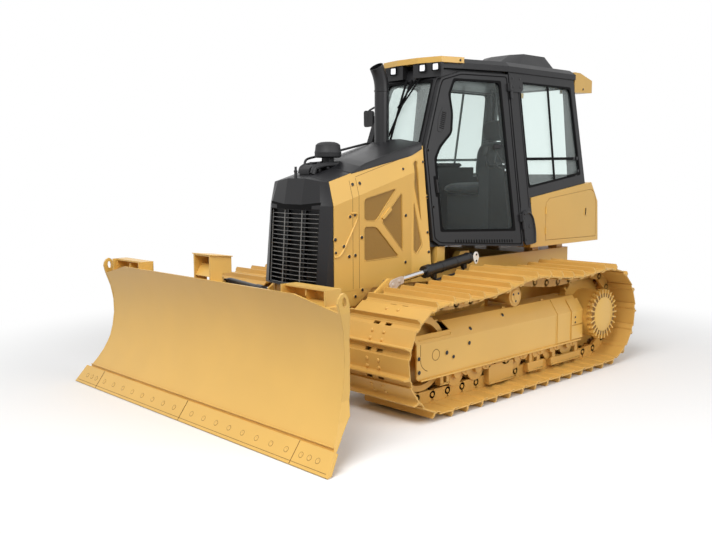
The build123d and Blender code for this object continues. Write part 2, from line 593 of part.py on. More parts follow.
def hood_side():
    """The left side panel: flat, slanted along the top, flared out at the cab, with its window holes."""
    outer = hood_side_sections(0)
    inner = hood_side_sections(HOOD_PLATE)
    pieces = []
    for (x_a, out_a), (x_b, out_b), (_, in_a), (_, in_b) in zip(outer, outer[1:], inner, inner[1:]):
        face_a = [(x_a, y, z) for y, z in out_a + in_a[::-1]]
        face_b = [(x_b, y, z) for y, z in out_b + in_b[::-1]]
        pieces.append(hull_of_sections([face_a, face_b]))
    panel = pieces[0] + pieces[1]
    for outline in HOOD_WINDOWS:
        panel -= plate_y(outline, 200, 600)
    return panel


def hood_mesh():
    """The perforated sheets behind the window holes, flat against the panel's inner face."""
    x_low, x_high = HOOD_CREASE_X + 20, 2010
    outer_y = HOOD_HALF_WIDTH - HOOD_PLATE - PIN_GAP
    flat = block(x_low, x_high, outer_y - MESH_THICKNESS, outer_y, MESH_BOTTOM_Z, hood_top_z(x_high) - HOOD_BEVEL - 4)
    outer = hood_side_sections(HOOD_PLATE + PIN_GAP)[1:]
    inner = hood_side_sections(HOOD_PLATE + PIN_GAP + MESH_THICKNESS)[1:]
    ends = []
    for (x, out), (_, back) in zip(outer, inner):
        ends.append([(x, y, z) for y, z in out[:2] + back[:2][::-1]])
    flare = hull_of_sections(ends) & block(CAB_FRONT_X + 14, HOOD_CREASE_X - 8, 0, 600, MESH_BOTTOM_Z, 1800)
    return flat, flare


def hood_cap():
    """The dark sloped top between the side panels, resting on their upper edges."""
    rear_x = CAB_FRONT_X + 4
    sections = []
    for x, half in ((HOOD_FRONT_X - 2, HOOD_TOP_HALF_WIDTH), (HOOD_CREASE_X, HOOD_TOP_HALF_WIDTH),
                    (rear_x, door_plane_y(rear_x, hood_top_z(rear_x)))):
        edge, seat = hood_top_z(x) + PIN_GAP, half - HOOD_PLATE - 3
        points = [(half, edge), (CREST_HALF_WIDTH, edge + CREST_RISE), (-CREST_HALF_WIDTH, edge + CREST_RISE),
                  (-half, edge), (-seat, edge), (-seat, edge - 30), (seat, edge - 30), (seat, edge)]
        sections.append([(x, y, z) for y, z in points])
    return hull_of_sections(sections[:2]) + hull_of_sections(sections[1:])


def nose():
    """The dark cowl round the grille: its front facets are swept back, its shoulders slanted."""
    back = HOOD_FRONT_X + PIN_GAP
    sections = []
    for z, width, shoulder_x, facet_x, facet_y, centre_x in NOSE_LEVELS:
        half = [(back, width), (shoulder_x, width), (facet_x, facet_y), (centre_x, CREST_HALF_WIDTH)]
        sections.append([(x, y, z) for x, y in half] + [(x, -y, z) for x, y in half[::-1]])
    cowl = hull_of_sections(sections)
    # the top follows the hood's slope
    roofs = []
    for x in (back - 1, NOSE_FRONT_X + 40):
        z = hood_top_z(x)
        half = [(400, 700), (400, z - HOOD_BEVEL * 2), (HOOD_TOP_HALF_WIDTH, z), (CREST_HALF_WIDTH, z + CREST_RISE)]
        roofs.append([(x, y, z) for y, z in half] + [(x, -y, z) for y, z in half[::-1]])
    cowl = cowl & hull_of_sections(roofs)
    opening = block(back - 1, NOSE_FRONT_X + 50, -GRILLE_HALF_WIDTH + 4, GRILLE_HALF_WIDTH - 4, NOSE_BOTTOM_Z + 12,
                    GRILLE_TOP_Z - 26)
    return cowl - opening


def grille():
    """Louvres in the nose's opening, bent back at both uprights, on a frame of four uprights."""
    low, high = NOSE_BOTTOM_Z + 12 + PIN_GAP, GRILLE_TOP_Z - 26 - PIN_GAP
    half = GRILLE_HALF_WIDTH - 4 - PIN_GAP
    pieces = []
    lean = 41.0 / (1366.0 - NOSE_BOTTOM_Z)
    pitch = (high - low) / LOUVRE_COUNT
    for number in range(LOUVRE_COUNT + 1):
        z = low + pitch * number * (1 - LOUVRE_THICKNESS / (high - low))
        front = NOSE_FRONT_X - 14 - lean * (z - NOSE_BOTTOM_Z)
        plan = [(front - 26, -half), (front, -CREST_HALF_WIDTH), (front, CREST_HALF_WIDTH), (front - 26, half),
                (front - 26 - LOUVRE_DEPTH, half), (front - LOUVRE_DEPTH, CREST_HALF_WIDTH),
                (front - LOUVRE_DEPTH, -CREST_HALF_WIDTH), (front - 26 - LOUVRE_DEPTH, -half)]
        pieces.append(plate_z(plan, z, z + LOUVRE_THICKNESS))
    for y in (-half, -CREST_HALF_WIDTH - 5, CREST_HALF_WIDTH - 5, half - 10):
        back = NOSE_FRONT_X - 44 if abs(y + 5) < 200 else NOSE_FRONT_X - 62
        upright = [(back, low), (back - 41 * (high - low) / (1366.0 - NOSE_BOTTOM_Z), high),
                   (back - 72, high), (back - 30, low)]
        pieces.append(plate_y(upright, y, y + 10))
    return pieces[0].fuse(*pieces[1:])


# ---------------------------------------------------------------- cab
def side_y(z):
    """Half width of the cab behind the door hinge."""
    return CAB_HALF_WIDTH - CAB_TUMBLEHOME * (z - CAB_FLOOR_Z)


def door_plane_y(x, z):
    """Y of the left door's outer face."""
    return side_y(z) - CAB_DOOR_YAW * (x - CAB_HINGE_X)


def cab_front_x(z):
    """X of the cab's front face, which leans back above the knee."""
    return CAB_FRONT_X - CAB_FRONT_LEAN * max(0.0, z - CAB_KNEE_Z)


def cab_rear_x(z):
    """X of the cab's rear face."""
    return CAB_REAR_X + CAB_REAR_LEAN * (z - CAB_FLOOR_Z)


def cab_hull(inset, z_low, z_high, step=True):
    """The cab's outer form, moved inwards by inset; the door's place is stepped in by its thickness."""
    door_step = DOOR_THICKNESS + DOOR_GAP
    sections = []
    for z in (z_low, CAB_KNEE_Z, z_high):
        front, rear = cab_front_x(z) - inset, cab_rear_x(z) + inset
        half = [(front, door_plane_y(front, z) - door_step - inset)]
        if step:
            half += [(CAB_HINGE_X, side_y(z) - door_step - inset), (CAB_HINGE_X, side_y(z) - inset),
                     (rear, side_y(z) - inset)]
        else:
            half += [(CAB_HINGE_X, side_y(z) - door_step - inset), (rear, side_y(z) - door_step - inset)]
        sections.append([(x, y, z) for x, y in half] + [(x, -y, z) for x, y in half[::-1]])
    return hull_of_sections(sections)


def tank_shape(grow, side_face):
    """The rear body: fuel tank behind the seat and a side box along each side of the cab's rear."""
    def outline(front_x, front_z):
        return [(front_x + grow, TANK_BOTTOM_Z - grow), (front_x + grow, front_z + grow),
                (TANK_REAR_X + 135, TANK_REAR_TOP_Z + grow), (TANK_REAR_X + 20 - grow, 1316),
                (TANK_REAR_X - grow, TANK_BOTTOM_Z - grow)]
    slope = (TANK_REAR_TOP_Z - TANK_FRONT_TOP_Z) / (TANK_FRONT_X - TANK_REAR_X - 135)
    inner_top = TANK_FRONT_TOP_Z + slope * (TANK_FRONT_X - TANK_INNER_FRONT_X)
    whole = plate_y(outline(TANK_INNER_FRONT_X, inner_top), -TANK_INNER_Y, TANK_INNER_Y)
    for side in (-1, 1):
        near, far = sorted((side * (TANK_INNER_Y - grow), side * (side_face + grow)))
        whole += plate_y(outline(TANK_FRONT_X, TANK_FRONT_TOP_Z), near, far)
    return whole


def mirrored_cut(shape, outline, y_low, y_high):
    """Cut the outline out of both sides."""
    for side in (-1, 1):
        near, far = sorted((side * y_low, side * y_high))
        shape -= plate_y(outline, near, far)
    return shape


WINDSCREEN = [(-262, 1800), (262, 1800), (236, 2306), (-236, 2306)]
SEAT_Z = 1500.0
REAR_WINDOW = [(-420, 1560), (420, 1560), (370, 2320), (-370, 2320)]


def cab_frame():
    """Posts, rails, floor and ceiling of the cab, hollow, with every window and door opening cut."""
    frame = cab_hull(0, CAB_BASE_Z, CAB_TOP_Z)
    frame -= cab_hull(CAB_WALL, CAB_BASE_Z + CAB_FLOOR_PLATE, CAB_TOP_Z - 44, step=False)
    frame = mirrored_cut(frame, DOOR_OPENING, 180, 800)
    frame = mirrored_cut(frame, SIDE_WINDOW, 180, 800)
    frame -= plate_x(WINDSCREEN, 1000, 1500)
    frame -= plate_x(REAR_WINDOW, -700, -470)
    frame -= tank_shape(PIN_GAP, 700)
    for z in HINGE_HEIGHTS:
        knuckle, leaf = hinge_half(z, z + HINGE_LENGTH, CAB_HINGE_X - 16, CAB_HINGE_X + 1)
        frame += knuckle + leaf
        frame += other_side(knuckle + leaf)
    return frame


HINGE_HEIGHTS = (1120.0, 2180.0)
HINGE_LENGTH = 60.0
HINGE_RADIUS = 12.0


def hinge_point(z):
    """A point of the left door's leaning hinge axis."""
    return (CAB_HINGE_X + 1, side_y(z) + HINGE_RADIUS + 0.5, z)


def hinge_half(z_low, z_high, leaf_from, leaf_to):
    """One knuckle on the door's hinge axis and its leaf."""
    knuckle = rod_between(hinge_point(z_low), hinge_point(z_high), HINGE_RADIUS)
    corners = [(leaf_from, -6), (leaf_to, -6), (leaf_to, HINGE_RADIUS), (leaf_from, HINGE_RADIUS)]
    leaf = hull_of_sections([[(x, side_y(z) + y, z) for x, y in corners] for z in (z_low, z_high)])
    return knuckle, leaf


def door_slab(outline, depth_out, depth_in):
    """A flat panel in the door's plane between two depths."""
    return hull_of_sections([[(x, door_plane_y(x, z) - depth, z) for x, z in outline]
                             for depth in (depth_out, depth_in)])


def door():
    """The left door's frame, with the wide place for its handle, and its half of both hinges."""
    panel = door_slab(DOOR_OUTLINE, 0, DOOR_THICKNESS) - door_slab(DOOR_GLASS, -1, DOOR_THICKNESS + 1)
    for z in HINGE_HEIGHTS:
        start = z + HINGE_LENGTH + 4
        knuckle, leaf = hinge_half(start, start + HINGE_LENGTH, CAB_HINGE_X + 1, CAB_HINGE_X + 32)
        panel += knuckle + leaf
    return panel


def shrink(outline, gap):
    """The outline moved inwards a little, towards its middle."""
    mid_x = sum(x for x, _ in outline) / len(outline)
    mid_z = sum(z for _, z in outline) / len(outline)
    moved = []
    for x, z in outline:
        reach = hypot(x - mid_x, z - mid_z)
        moved.append((x - (x - mid_x) / reach * gap, z - (z - mid_z) / reach * gap))
    return moved


def door_glass():
    """The left door's pane."""
    middle = DOOR_THICKNESS / 2
    return door_slab(shrink(DOOR_GLASS, 1.0), middle - GLASS_THICKNESS / 2, middle + GLASS_THICKNESS / 2)


def cab_glass():
    """The fixed panes: windscreen, rear window and both rear side windows."""
    slab = cab_hull(20, CAB_BASE_Z, CAB_TOP_Z) - cab_hull(20 + GLASS_THICKNESS, CAB_BASE_Z - 1, CAB_TOP_Z + 1)
    panes = [slab & plate_x(shrink(WINDSCREEN, 1.0), 1000, 1500), slab & plate_x(shrink(REAR_WINDOW, 1.0), -700, -470)]
    for side in (-1, 1):
        near, far = sorted((side * 180, side * 800))
        panes.append(slab & plate_y(shrink(SIDE_WINDOW, 1.0), near, far))
    return panes


def roof_rim(grow=0.0):
    """The roof panel, grown sideways by a gap."""
    base = CAB_TOP_Z + PIN_GAP
    rim = [(1070, 288), (889, 354), (440, 463), (-560, 463)]
    crown = [(1044, 262), (878, 318), (434, 425), (-520, 425)]
    levels = []
    for half, z in ((rim, base), (rim, base + ROOF_THICKNESS * 0.55), (crown, base + ROOF_THICKNESS)):
        wide = [(x + (grow if x > 0 else -grow), y + grow) for x, y in half]
        levels.append([(x, y, z) for x, y in wide] + [(x, -y, z) for x, y in wide[::-1]])
    return hull_of_sections(levels)


def cab_roof():
    """The roof panel with its rounded-off rim and the air conditioner's housing on top."""
    base = CAB_TOP_Z + PIN_GAP
    roof = roof_rim()
    foot = [(210, 120), (60, 290), (-505, 290)]
    top = [(-60, 100), (-110, 215), (-430, 215)]
    levels = []
    for half, z in ((foot, base + ROOF_THICKNESS - 2), (top, 2614)):
        levels.append([(x, y, z) for x, y in half] + [(x, -y, z) for x, y in half[::-1]])
    return roof + hull_of_sections(levels)


def visor():
    """The band round the roof's front edge and the two corner housings at its rear."""
    low, high = CAB_TOP_Z + 40, CAB_TOP_Z + 85
    outer = [(905, 374), (1108, 312), (1158, 110)]
    inner = [(905, 350), (1070 + 2 * PIN_GAP, 288 + 2 * PIN_GAP), (1070 + 2 * PIN_GAP, 110)]
    ring = [(x, y) for x, y in outer] + [(x, -y) for x, y in outer[::-1]]
    hollow = [(x, -y) for x, y in inner] + [(x, y) for x, y in inner[::-1]]
    band = plate_z(ring + hollow, low, high) - roof_rim(PIN_GAP)
    rear_x = -560 - PIN_GAP
    side_view = [(rear_x, 2470), (-650, 2468), (REAR_LAMP_X, 2412), (REAR_LAMP_X, 2302), (rear_x, 2290)]
    corners = []
    for side in (-1, 1):
        near, far = sorted((side * 300, side * 455))
        corners.append(plate_y(side_view, near, far))
    return band, corners[0], corners[1]


def lamp_housings():
    """The two front lamp boxes under the visor."""
    top, low = CAB_TOP_Z + 40 - PIN_GAP, CAB_TOP_Z - 70
    boxes = []
    for side in (-1, 1):
        plan = [(1072, side * 56), (1150, side * 56), (1140, side * 150), (1116, side * 318), (1103, side * 330),
                (1103, side * 280), (1072, side * 270)]
        boxes.append(plate_z(plan, low, top) - roof_rim(PIN_GAP) - cab_hull(-PIN_GAP, CAB_BASE_Z, CAB_TOP_Z + 1))
    return boxes


def service_knuckles(gap=0.0):
    """The two hinge knuckles at a side door's front edge, or the room round them."""
    return [round_z(SERVICE_HINGE_X, SERVICE_HINGE_Y, SERVICE_HINGE_RADIUS + gap, low - gap, high + gap)
            for low, high in SERVICE_HINGE_SPANS]


def rear_body():
    """Fuel tank and side boxes as one closed body, with a shallow seat for each side's door."""
    body = tank_shape(0, TANK_SIDE_Y)
    for knuckle in service_knuckles(SERVICE_HINGE_GAP):
        body -= knuckle
        body -= other_side(knuckle)
    return mirrored_cut(body, shrink(SERVICE_DOOR, -SERVICE_DOOR_GAP), TANK_SIDE_Y - SERVICE_DOOR_THICKNESS,
                        TANK_SIDE_Y + 1)


def service_door():
    """The left side box's door, hinged at its front edge."""
    panel = plate_y(SERVICE_DOOR, TANK_SIDE_Y - SERVICE_DOOR_THICKNESS + PIN_GAP, TANK_SIDE_Y)
    for knuckle in service_knuckles():
        panel += knuckle
    return panel


def seat_base():
    """Seat pedestal, side consoles and the instrument post."""
    floor = CAB_BASE_Z + CAB_FLOOR_PLATE + PIN_GAP
    pieces = [block(20, 430, -190, 190, floor, SEAT_Z - 110)]
    for side in (-1, 1):
        near, far = sorted((side * 240, side * 345))
        pieces.append(block(0, 540, near, far, floor, SEAT_Z + 130))
    pieces.append(plate_y([(1150, floor), (1255, floor), (1255, 1660), (1180, 1690), (1130, 1580)], -210, 210))
    return pieces


def seat_cushions():
    """Seat cushion, backrest and headrest as plain soft solids."""
    base, top = SEAT_Z - 110 + PIN_GAP, SEAT_Z
    cushion = block(40, 520, -225, 225, base, top)
    seam = top + PIN_GAP
    back = plate_y([(35, seam), (130, seam), (45, 1860), (-45, 1860)], -220, 220)
    head = plate_y([(-42, 1860 + PIN_GAP), (12, 1860 + PIN_GAP), (2, 2048), (-50, 2048)], -150, 150)
    return cushion, back, head


def below_hood(x_low, x_high):
    """Everything under the hood cap's ridge between two X planes."""
    lift = CREST_RISE + 2 * PIN_GAP
    return plate_y([(x_low, hood_top_z(x_low) + lift), (x_high, hood_top_z(x_high) + lift), (x_high, 1000),
                    (x_low, 1000)], -300, 300)


def exhaust_stack():
    """The upright exhaust with its mitred outlet."""
    x, y, foot = EXHAUST_X, EXHAUST_Y, hood_top_z(EXHAUST_X)
    stack = round_z(x, y, 57, foot, 2290) + rod_between((x, y, 2270), (x + 60, y, 2405), 55)
    stack += round_z(x, y, 76, foot, foot + CREST_RISE + 30)
    return stack - below_hood(x - 100, x + 100)


def air_precleaner():
    """The intake's bowl on its stalk."""
    x = PRECLEANER_X
    bowl = round_z(x, 0, 86, 1712, 1800)
    bowl = fillet(bowl.edges().filter_by(GeomType.CIRCLE).sort_by(Axis.Z)[-1], 30)
    return round_z(x, 0, 48, hood_top_z(x), 1714) + bowl - below_hood(x - 100, x + 100)


# ---------------------------------------------------------------- blade
def lift_frame():
    """The push frame: an arm inside each track, the cross beam, the king pin and the cylinder lugs."""
    half_arm = ARM_HEIGHT / 2
    y_low, y_high = ARM_INNER_Y, ARM_INNER_Y + ARM_WIDTH
    frame = None
    for side in (-1, 1):
        near, far = sorted((side * y_low, side * y_high))
        arm = plate_y([(LIFT_PIVOT_X, LIFT_PIVOT_Z - half_arm), (CROSS_REAR_X + 20, LIFT_PIVOT_Z - half_arm),
                       (CROSS_REAR_X + 20, LIFT_PIVOT_Z + half_arm + 30), (LIFT_PIVOT_X, LIFT_PIVOT_Z + half_arm)],
                      near, far)
        arm += round_y(LIFT_PIVOT_X, LIFT_PIVOT_Z, 84, near, far)
        arm -= round_y(LIFT_PIVOT_X, LIFT_PIVOT_Z, 48 + PIN_GAP, near - 1, far + 1)
        near, far = sorted((side * (y_high - LUG_THICKNESS), side * y_high))
        lug = plate_y([(LIFT_EYE_X - 60, LIFT_PIVOT_Z + 40), (LIFT_EYE_X + 520, LIFT_PIVOT_Z + 40),
                       (LIFT_EYE_X + 300, LIFT_PIVOT_Z + 250), (LIFT_EYE_X + 30, LIFT_EYE_Z + 48),
                       (LIFT_EYE_X - 40, LIFT_EYE_Z + 40), (LIFT_EYE_X - 60, LIFT_EYE_Z - 10)], near, far)
        arm += lug
        pin_x, pin_y, seat_z = ANGLE_BARREL_X, side * ANGLE_BARREL_Y, ANGLE_Z - EYE_WIDTH / 2 - 2
        near, far = sorted((side * (ANGLE_BARREL_Y - 34), side * (ANGLE_BARREL_Y + 34)))
        arm += block(pin_x - 34, pin_x + 16, near, far, LIFT_PIVOT_Z + half_arm - 30, seat_z)
        arm += round_z(pin_x, pin_y, CYLINDER_PIN_RADIUS, seat_z - 5, ANGLE_Z + EYE_WIDTH / 2 + 8)
        frame = arm if frame is None else frame + arm
    cross_top = LIFT_PIVOT_Z + half_arm + 30
    frame += block(CROSS_REAR_X, CROSS_REAR_X + CROSS_DEPTH, -y_high, y_high, 300, cross_top)
    frame += plate_z([(CROSS_REAR_X + 20, -300), (CROSS_REAR_X + 20, 300), (KING_X - 75, 150), (KING_X - 75, -150)],
                     300, cross_top)
    lug_radius = 56
    for z_low, z_high in ((KING_BOTTOM_Z, KING_BOTTOM_Z + 40), (KING_TOP_Z - 40, KING_TOP_Z)):
        lug = round_z(KING_X, 0, lug_radius, z_low, z_high)
        lug += block(KING_X - 160, KING_X, -lug_radius, lug_radius, z_low, z_high)
        frame += lug
    frame += block(KING_X - 180, KING_X - 70, -lug_radius, lug_radius, KING_BOTTOM_Z, KING_TOP_Z)
    frame += round_z(KING_X, 0, KING_RADIUS, KING_BOTTOM_Z - 10, KING_TOP_Z + 12)
    return frame


def angle_yoke():
    """The yoke that swings on the king pin: barrel, face plate, tower and the wings for the angle rods."""
    low, high = KING_BOTTOM_Z + 40 + 1, KING_TOP_Z - 40 - 1
    face_x = KING_X + 62
    yoke = round_z(KING_X, 0, 54, low, high)
    yoke += block(KING_X, face_x + 10, -50, 50, low, high)
    yoke += plate_x([(-120, low), (120, low), (120, high), (48, high + 40), (48, TILT_PIN_Z + 44),
                     (-48, TILT_PIN_Z + 44), (-48, high + 40), (-120, high)], face_x, face_x + 28)
    for side in (-1, 1):
        near, far = sorted((side * 60, side * (WING_Y + 48)))
        wing = plate_z([(WING_X - 18, side * 40), (face_x + 20, side * 40), (face_x + 20, side * 120),
                        (WING_X + 26, side * (WING_Y + 40)), (WING_X - 34, side * (WING_Y + 40)),
                        (WING_X - 44, side * (WING_Y - 40))], ANGLE_Z - 50, ANGLE_Z - 26)
        yoke += wing
    yoke -= round_z(KING_X, 0, KING_RADIUS + PIN_GAP, low - 1, high + 1)
    yoke += rod_between((face_x + 5, 0, TILT_Z), (BLADE_BACK_X + 18, 0, TILT_Z), TILT_PIN_RADIUS)
    yoke += rod_between((TILT_PIN_X - 30, TILT_PIN_Y, TILT_PIN_Z), (face_x + 5, TILT_PIN_Y, TILT_PIN_Z),
                        CYLINDER_PIN_RADIUS)
    return yoke


def circle_through(first, middle, last):
    """Centre and radius of the circle through three (x, z) points."""
    (ax, az), (bx, bz), (cx, cz) = first, middle, last
    d = 2 * (ax * (bz - cz) + bx * (cz - az) + cx * (az - bz))
    a2, b2, c2 = ax * ax + az * az, bx * bx + bz * bz, cx * cx + cz * cz
    x = (a2 * (bz - cz) + b2 * (cz - az) + c2 * (az - bz)) / d
    z = (a2 * (cx - bx) + b2 * (ax - cx) + c2 * (bx - ax)) / d
    return (x, z), hypot(ax - x, az - z)


BOARD_FOOT = (MOLDBOARD_FOOT_X, EDGE_TOP_Z)
ARC_CENTRE, ARC_RADIUS = circle_through(BOARD_FOOT, (MOLDBOARD_MID_X, MOLDBOARD_MID_Z),
                                        (MOLDBOARD_TOP_X, MOLDBOARD_TOP_Z))


def moldboard_x(z, behind=0.0):
    """X of the moldboard's face at height z, or of a surface behind it."""
    radius = ARC_RADIUS + behind
    return ARC_CENTRE[0] - sqrt(radius ** 2 - (z - ARC_CENTRE[1]) ** 2)


def arc_slab(front, back, z_low, z_high, y_low, y_high):
    """A curved sheet that follows the moldboard between two depths behind its face."""
    middle = (z_low + z_high) / 2
    points = [[(moldboard_x(z, depth), y_low, z) for z in (z_low, middle, z_high)] for depth in (front, back)]
    edges = [ThreePointArc(*points[0]), Line(points[0][2], points[1][2]), ThreePointArc(*points[1][::-1]),
             Line(points[1][0], points[0][0])]
    return extrude(Face(Wire(edges)), amount=y_high - y_low, dir=(0, 1, 0))


def before_board(depth, z_low, z_high, y_low, y_high):
    """Everything in front of a surface that lies a depth behind the moldboard's face."""
    middle = (z_low + z_high) / 2
    points = [(moldboard_x(z, depth), y_low, z) for z in (z_low, middle, z_high)]
    far_low, far_high = (BLADE_EDGE_X + 50, y_low, z_low), (BLADE_EDGE_X + 50, y_low, z_high)
    edges = [ThreePointArc(*points), Line(points[2], far_high), Line(far_high, far_low), Line(far_low, points[0])]
    return extrude(Face(Wire(edges)), amount=y_high - y_low, dir=(0, 1, 0))


def ribs_behind(x_back, z_low, z_high, y_low, y_high):
    """Solid stiffening between a flat back and the moldboard's rear face."""
    sheet = block(x_back, BLADE_EDGE_X, y_low, y_high, z_low, z_high)
    return sheet - before_board(MOLDBOARD_PLATE - 1, z_low - 1, z_high + 1, y_low - 1, y_high + 1)


def edge_line(share, behind):
    """A point on the cutting edge's face, from its foot to its top, or at a depth behind it."""
    dx, dz = EDGE_TOP_X - BLADE_EDGE_X, EDGE_TOP_Z - BLADE_CLEARANCE
    length = hypot(dx, dz)
    back = (-dz / length, dx / length)
    return (BLADE_EDGE_X + dx * share + back[0] * behind, BLADE_CLEARANCE + dz * share + back[1] * behind)


def front_outline(side, extra=0.0):
    """A half outline and its mirror image, as (y, z) points seen from the front."""
    half = [(y + extra, z) for y, z in side]
    return half + [(-y, z) for y, z in half[::-1]]


def end_plates():
    """The blade's side plates, which follow its slanted side edges and end in slotted ears."""
    side = [edge_line(0.25, EDGE_THICKNESS + PIN_GAP), edge_line(0.98, EDGE_THICKNESS + PIN_GAP), BOARD_FOOT]
    side += [(moldboard_x(z), z) for z in (180, 240, 300, 360, 430, 530, 630, 740, 846)]
    side += [(3146, 896), (3139, 922), (3124, 942), (3101, EAR_TOP_Z), (3084, 943), (3070, 920), (3060, 886), (3049, 740),
             (3039, 568), (3047, 400), (3073, 262), (3171, 167), (3262, 76), (3290, 36)]
    band = BLADE_SIDE[:-1] + [(BLADE_SIDE[-2][0], EAR_TOP_Z + 2)]
    ring = band + [(y - END_PLATE, z) for y, z in band[::-1]]
    slot = [(3086, 880), (3098, 870), (3110, 880), (3116, 900), (3112, 921), (3101, 930), (3090, 921), (3084, 900)]
    plates = []
    for way in (-1, 1):
        near, far = sorted((way * (BLADE_WIDTH / 2 - 217), way * (BLADE_WIDTH / 2 + 13)))
        plate = plate_y(side, near, far) & plate_x([(way * y, z) for y, z in ring], *BLADE_ZONE[:2])
        plates.append(plate - plate_y(slot, near, far))
    return plates


def top_brackets():
    """The open boxes behind the blade's top edge at both sides."""
    back, low, top, sheet = BRACKET_BACK_X, 850, BRACKET_TOP_Z, 12
    boxes = []
    for way in (-1, 1):
        near, far = sorted((way * BRACKET_INNER_Y, way * BRACKET_OUTER_Y))
        box = block(back, back + 92, near, far, top - sheet, top)
        box += block(back, back + sheet, near, far, low, top)
        for y in (near, far - sheet):
            box += block(back, back + 120, y, y + sheet, low, top)
        boxes.append(box - before_board(MOLDBOARD_PLATE - 2, low - 1, MOLDBOARD_TOP_Z, near - 1, far + 1)
                     - block(moldboard_x(MOLDBOARD_TOP_Z, 0) - 8, BLADE_ZONE[1], near - 1, far + 1, MOLDBOARD_TOP_Z - 1, top + 1))
    return boxes


def guard():
    """The hollow box at the middle of the top edge that shields the tilt cylinder's pin."""
    rear, front, top, low, sheet = GUARD_REAR_X, GUARD_REAR_X + GUARD_DEPTH, GUARD_TOP_Z, 850, 12
    width = GUARD_HALF_WIDTH
    drop = top - GUARD_REAR_TOP_Z
    box = plate_y([(rear, low), (rear, top - drop), (front, top), (front, low)], -width, width)
    box -= plate_y([(rear + sheet, low - 1), (rear + sheet, top - drop - sheet), (front + 1, top - sheet),
                    (front + 1, low - 1)], -width + sheet, width - sheet)
    box += plate_y([(front - 4, 930), (front - 60, top - 70), (front - 74, top - 70), (front - 20, 930)],
                   -width + sheet / 2, width - sheet / 2)
    box -= before_board(MOLDBOARD_PLATE - 2, low - 2, MOLDBOARD_TOP_Z, -width - 1, width + 1)
    return box - block(rear - 1, BLADE_BACK_X, -width - 1, width + 1, low - 1, GUARD_LOW_Z)


def blade():
    """Moldboard, its backing, ribs, end plates with ears, top brackets and the pivot block."""
    half = BLADE_SIDE[0][0]
    board = arc_slab(0, MOLDBOARD_PLATE, EDGE_TOP_Z, MOLDBOARD_TOP_Z, -half, half)
    backing = EDGE_THICKNESS + 14
    root_z = EDGE_TOP_Z + 42
    foot = [BOARD_FOOT, (moldboard_x(root_z, 6), root_z), (moldboard_x(root_z, 34), root_z),
            edge_line(1.0, backing), edge_line(0.25, backing),
            edge_line(0.25, EDGE_THICKNESS + PIN_GAP), edge_line(0.98, EDGE_THICKNESS + PIN_GAP)]
    board += plate_y(foot, -half, half)
    board = board & plate_x(front_outline(BLADE_SIDE), *BLADE_ZONE[:2])
    for x_back, z_low, z_high, reach in BLADE_BEAMS:
        inner = plate_x(front_outline(BLADE_SIDE, -4), *BLADE_ZONE[:2])
        board += ribs_behind(x_back, z_low, z_high, -reach, reach) & inner
    for y in RIB_PLACES:
        board += ribs_behind(BLADE_BACK_X, 160, 860, y - 10, y + 10)
    board += ribs_behind(BLADE_BACK_X - 8, TILT_Z - 80, TILT_Z + 80, -120, 120)
    board -= rod_between((BLADE_BACK_X - 20, 0, TILT_Z), (BLADE_BACK_X + 19, 0, TILT_Z), TILT_PIN_RADIUS + PIN_GAP)
    # lug for the tilt rod
    lug_x = TILT_PIN_X + EYE_WIDTH / 2 + EYE_GAP
    board += block(lug_x, lug_x + LUG_THICKNESS, TILT_EYE_Y - 40, TILT_EYE_Y + 40, TILT_EYE_Z - 42, TILT_EYE_Z + 43)
    board += ribs_behind(lug_x + 5, TILT_EYE_Z - 30, TILT_EYE_Z + 38, TILT_EYE_Y - 34, TILT_EYE_Y + 34)
    for piece in (*end_plates(), *top_brackets(), guard()):
        board += piece
    return board


def cutting_edge():
    """Two long edges and two end bits, bolted along the blade's foot."""
    section = [edge_line(0, 0), edge_line(0.975, 0), edge_line(0.975, EDGE_THICKNESS), edge_line(0.16, EDGE_THICKNESS)]
    half = EDGE_SIDE[0][0]
    whole = plate_y(section, -half, half) & plate_x(front_outline(EDGE_SIDE), *BLADE_ZONE[:2])
    pieces = []
    rear, front, far = BLADE_ZONE
    for y_low, y_high in ((-far, -END_BIT_Y), (-END_BIT_Y + 3, -1.5), (1.5, END_BIT_Y - 3), (END_BIT_Y, far)):
        pieces.append(whole & block(rear, front, y_low, y_high, -10, EDGE_TOP_Z + 20))
    return pieces


# ---------------------------------------------------------------- cylinders
def cylinder(start, end, pin_axis, barrel_length, barrel_radius, rod_radius, travel, boss):
    """A barrel with its rear eye and gland, and a rod whose eye has a boss towards the lug beside it."""
    start, end, across = Vector(*start), Vector(*end), Vector(*pin_axis)
    way = (end - start).normalized()
    eye, half = barrel_radius * EYE_SHARE, EYE_WIDTH / 2
    barrel = rod_between(start + way * (eye * 0.9), start + way * barrel_length, barrel_radius)
    barrel += rod_between(start + way * (barrel_length - 46), start + way * (barrel_length + 12),
                          barrel_radius + BARREL_COLLAR)
    bore_start = eye + 40
    barrel -= rod_between(start + way * bore_start, start + way * (barrel_length + 20), rod_radius + PIN_GAP)
    barrel += rod_between(start - across * half, start + across * half, eye)
    barrel -= rod_between(start - across * (half + 60), start + across * (half + 60), CYLINDER_PIN_RADIUS + PIN_GAP)
    rod = rod_between(start + way * (bore_start + travel), end - way * (eye * 0.5), rod_radius)
    rod += rod_between(end - across * half, end + across * half, eye * 0.9)
    tips = sorted((-half - 6, half + boss)) if boss > 0 else (-half + boss, half + 6)
    rod += rod_between(end + across * tips[0], end + across * tips[1], CYLINDER_PIN_RADIUS)
    return barrel, rod


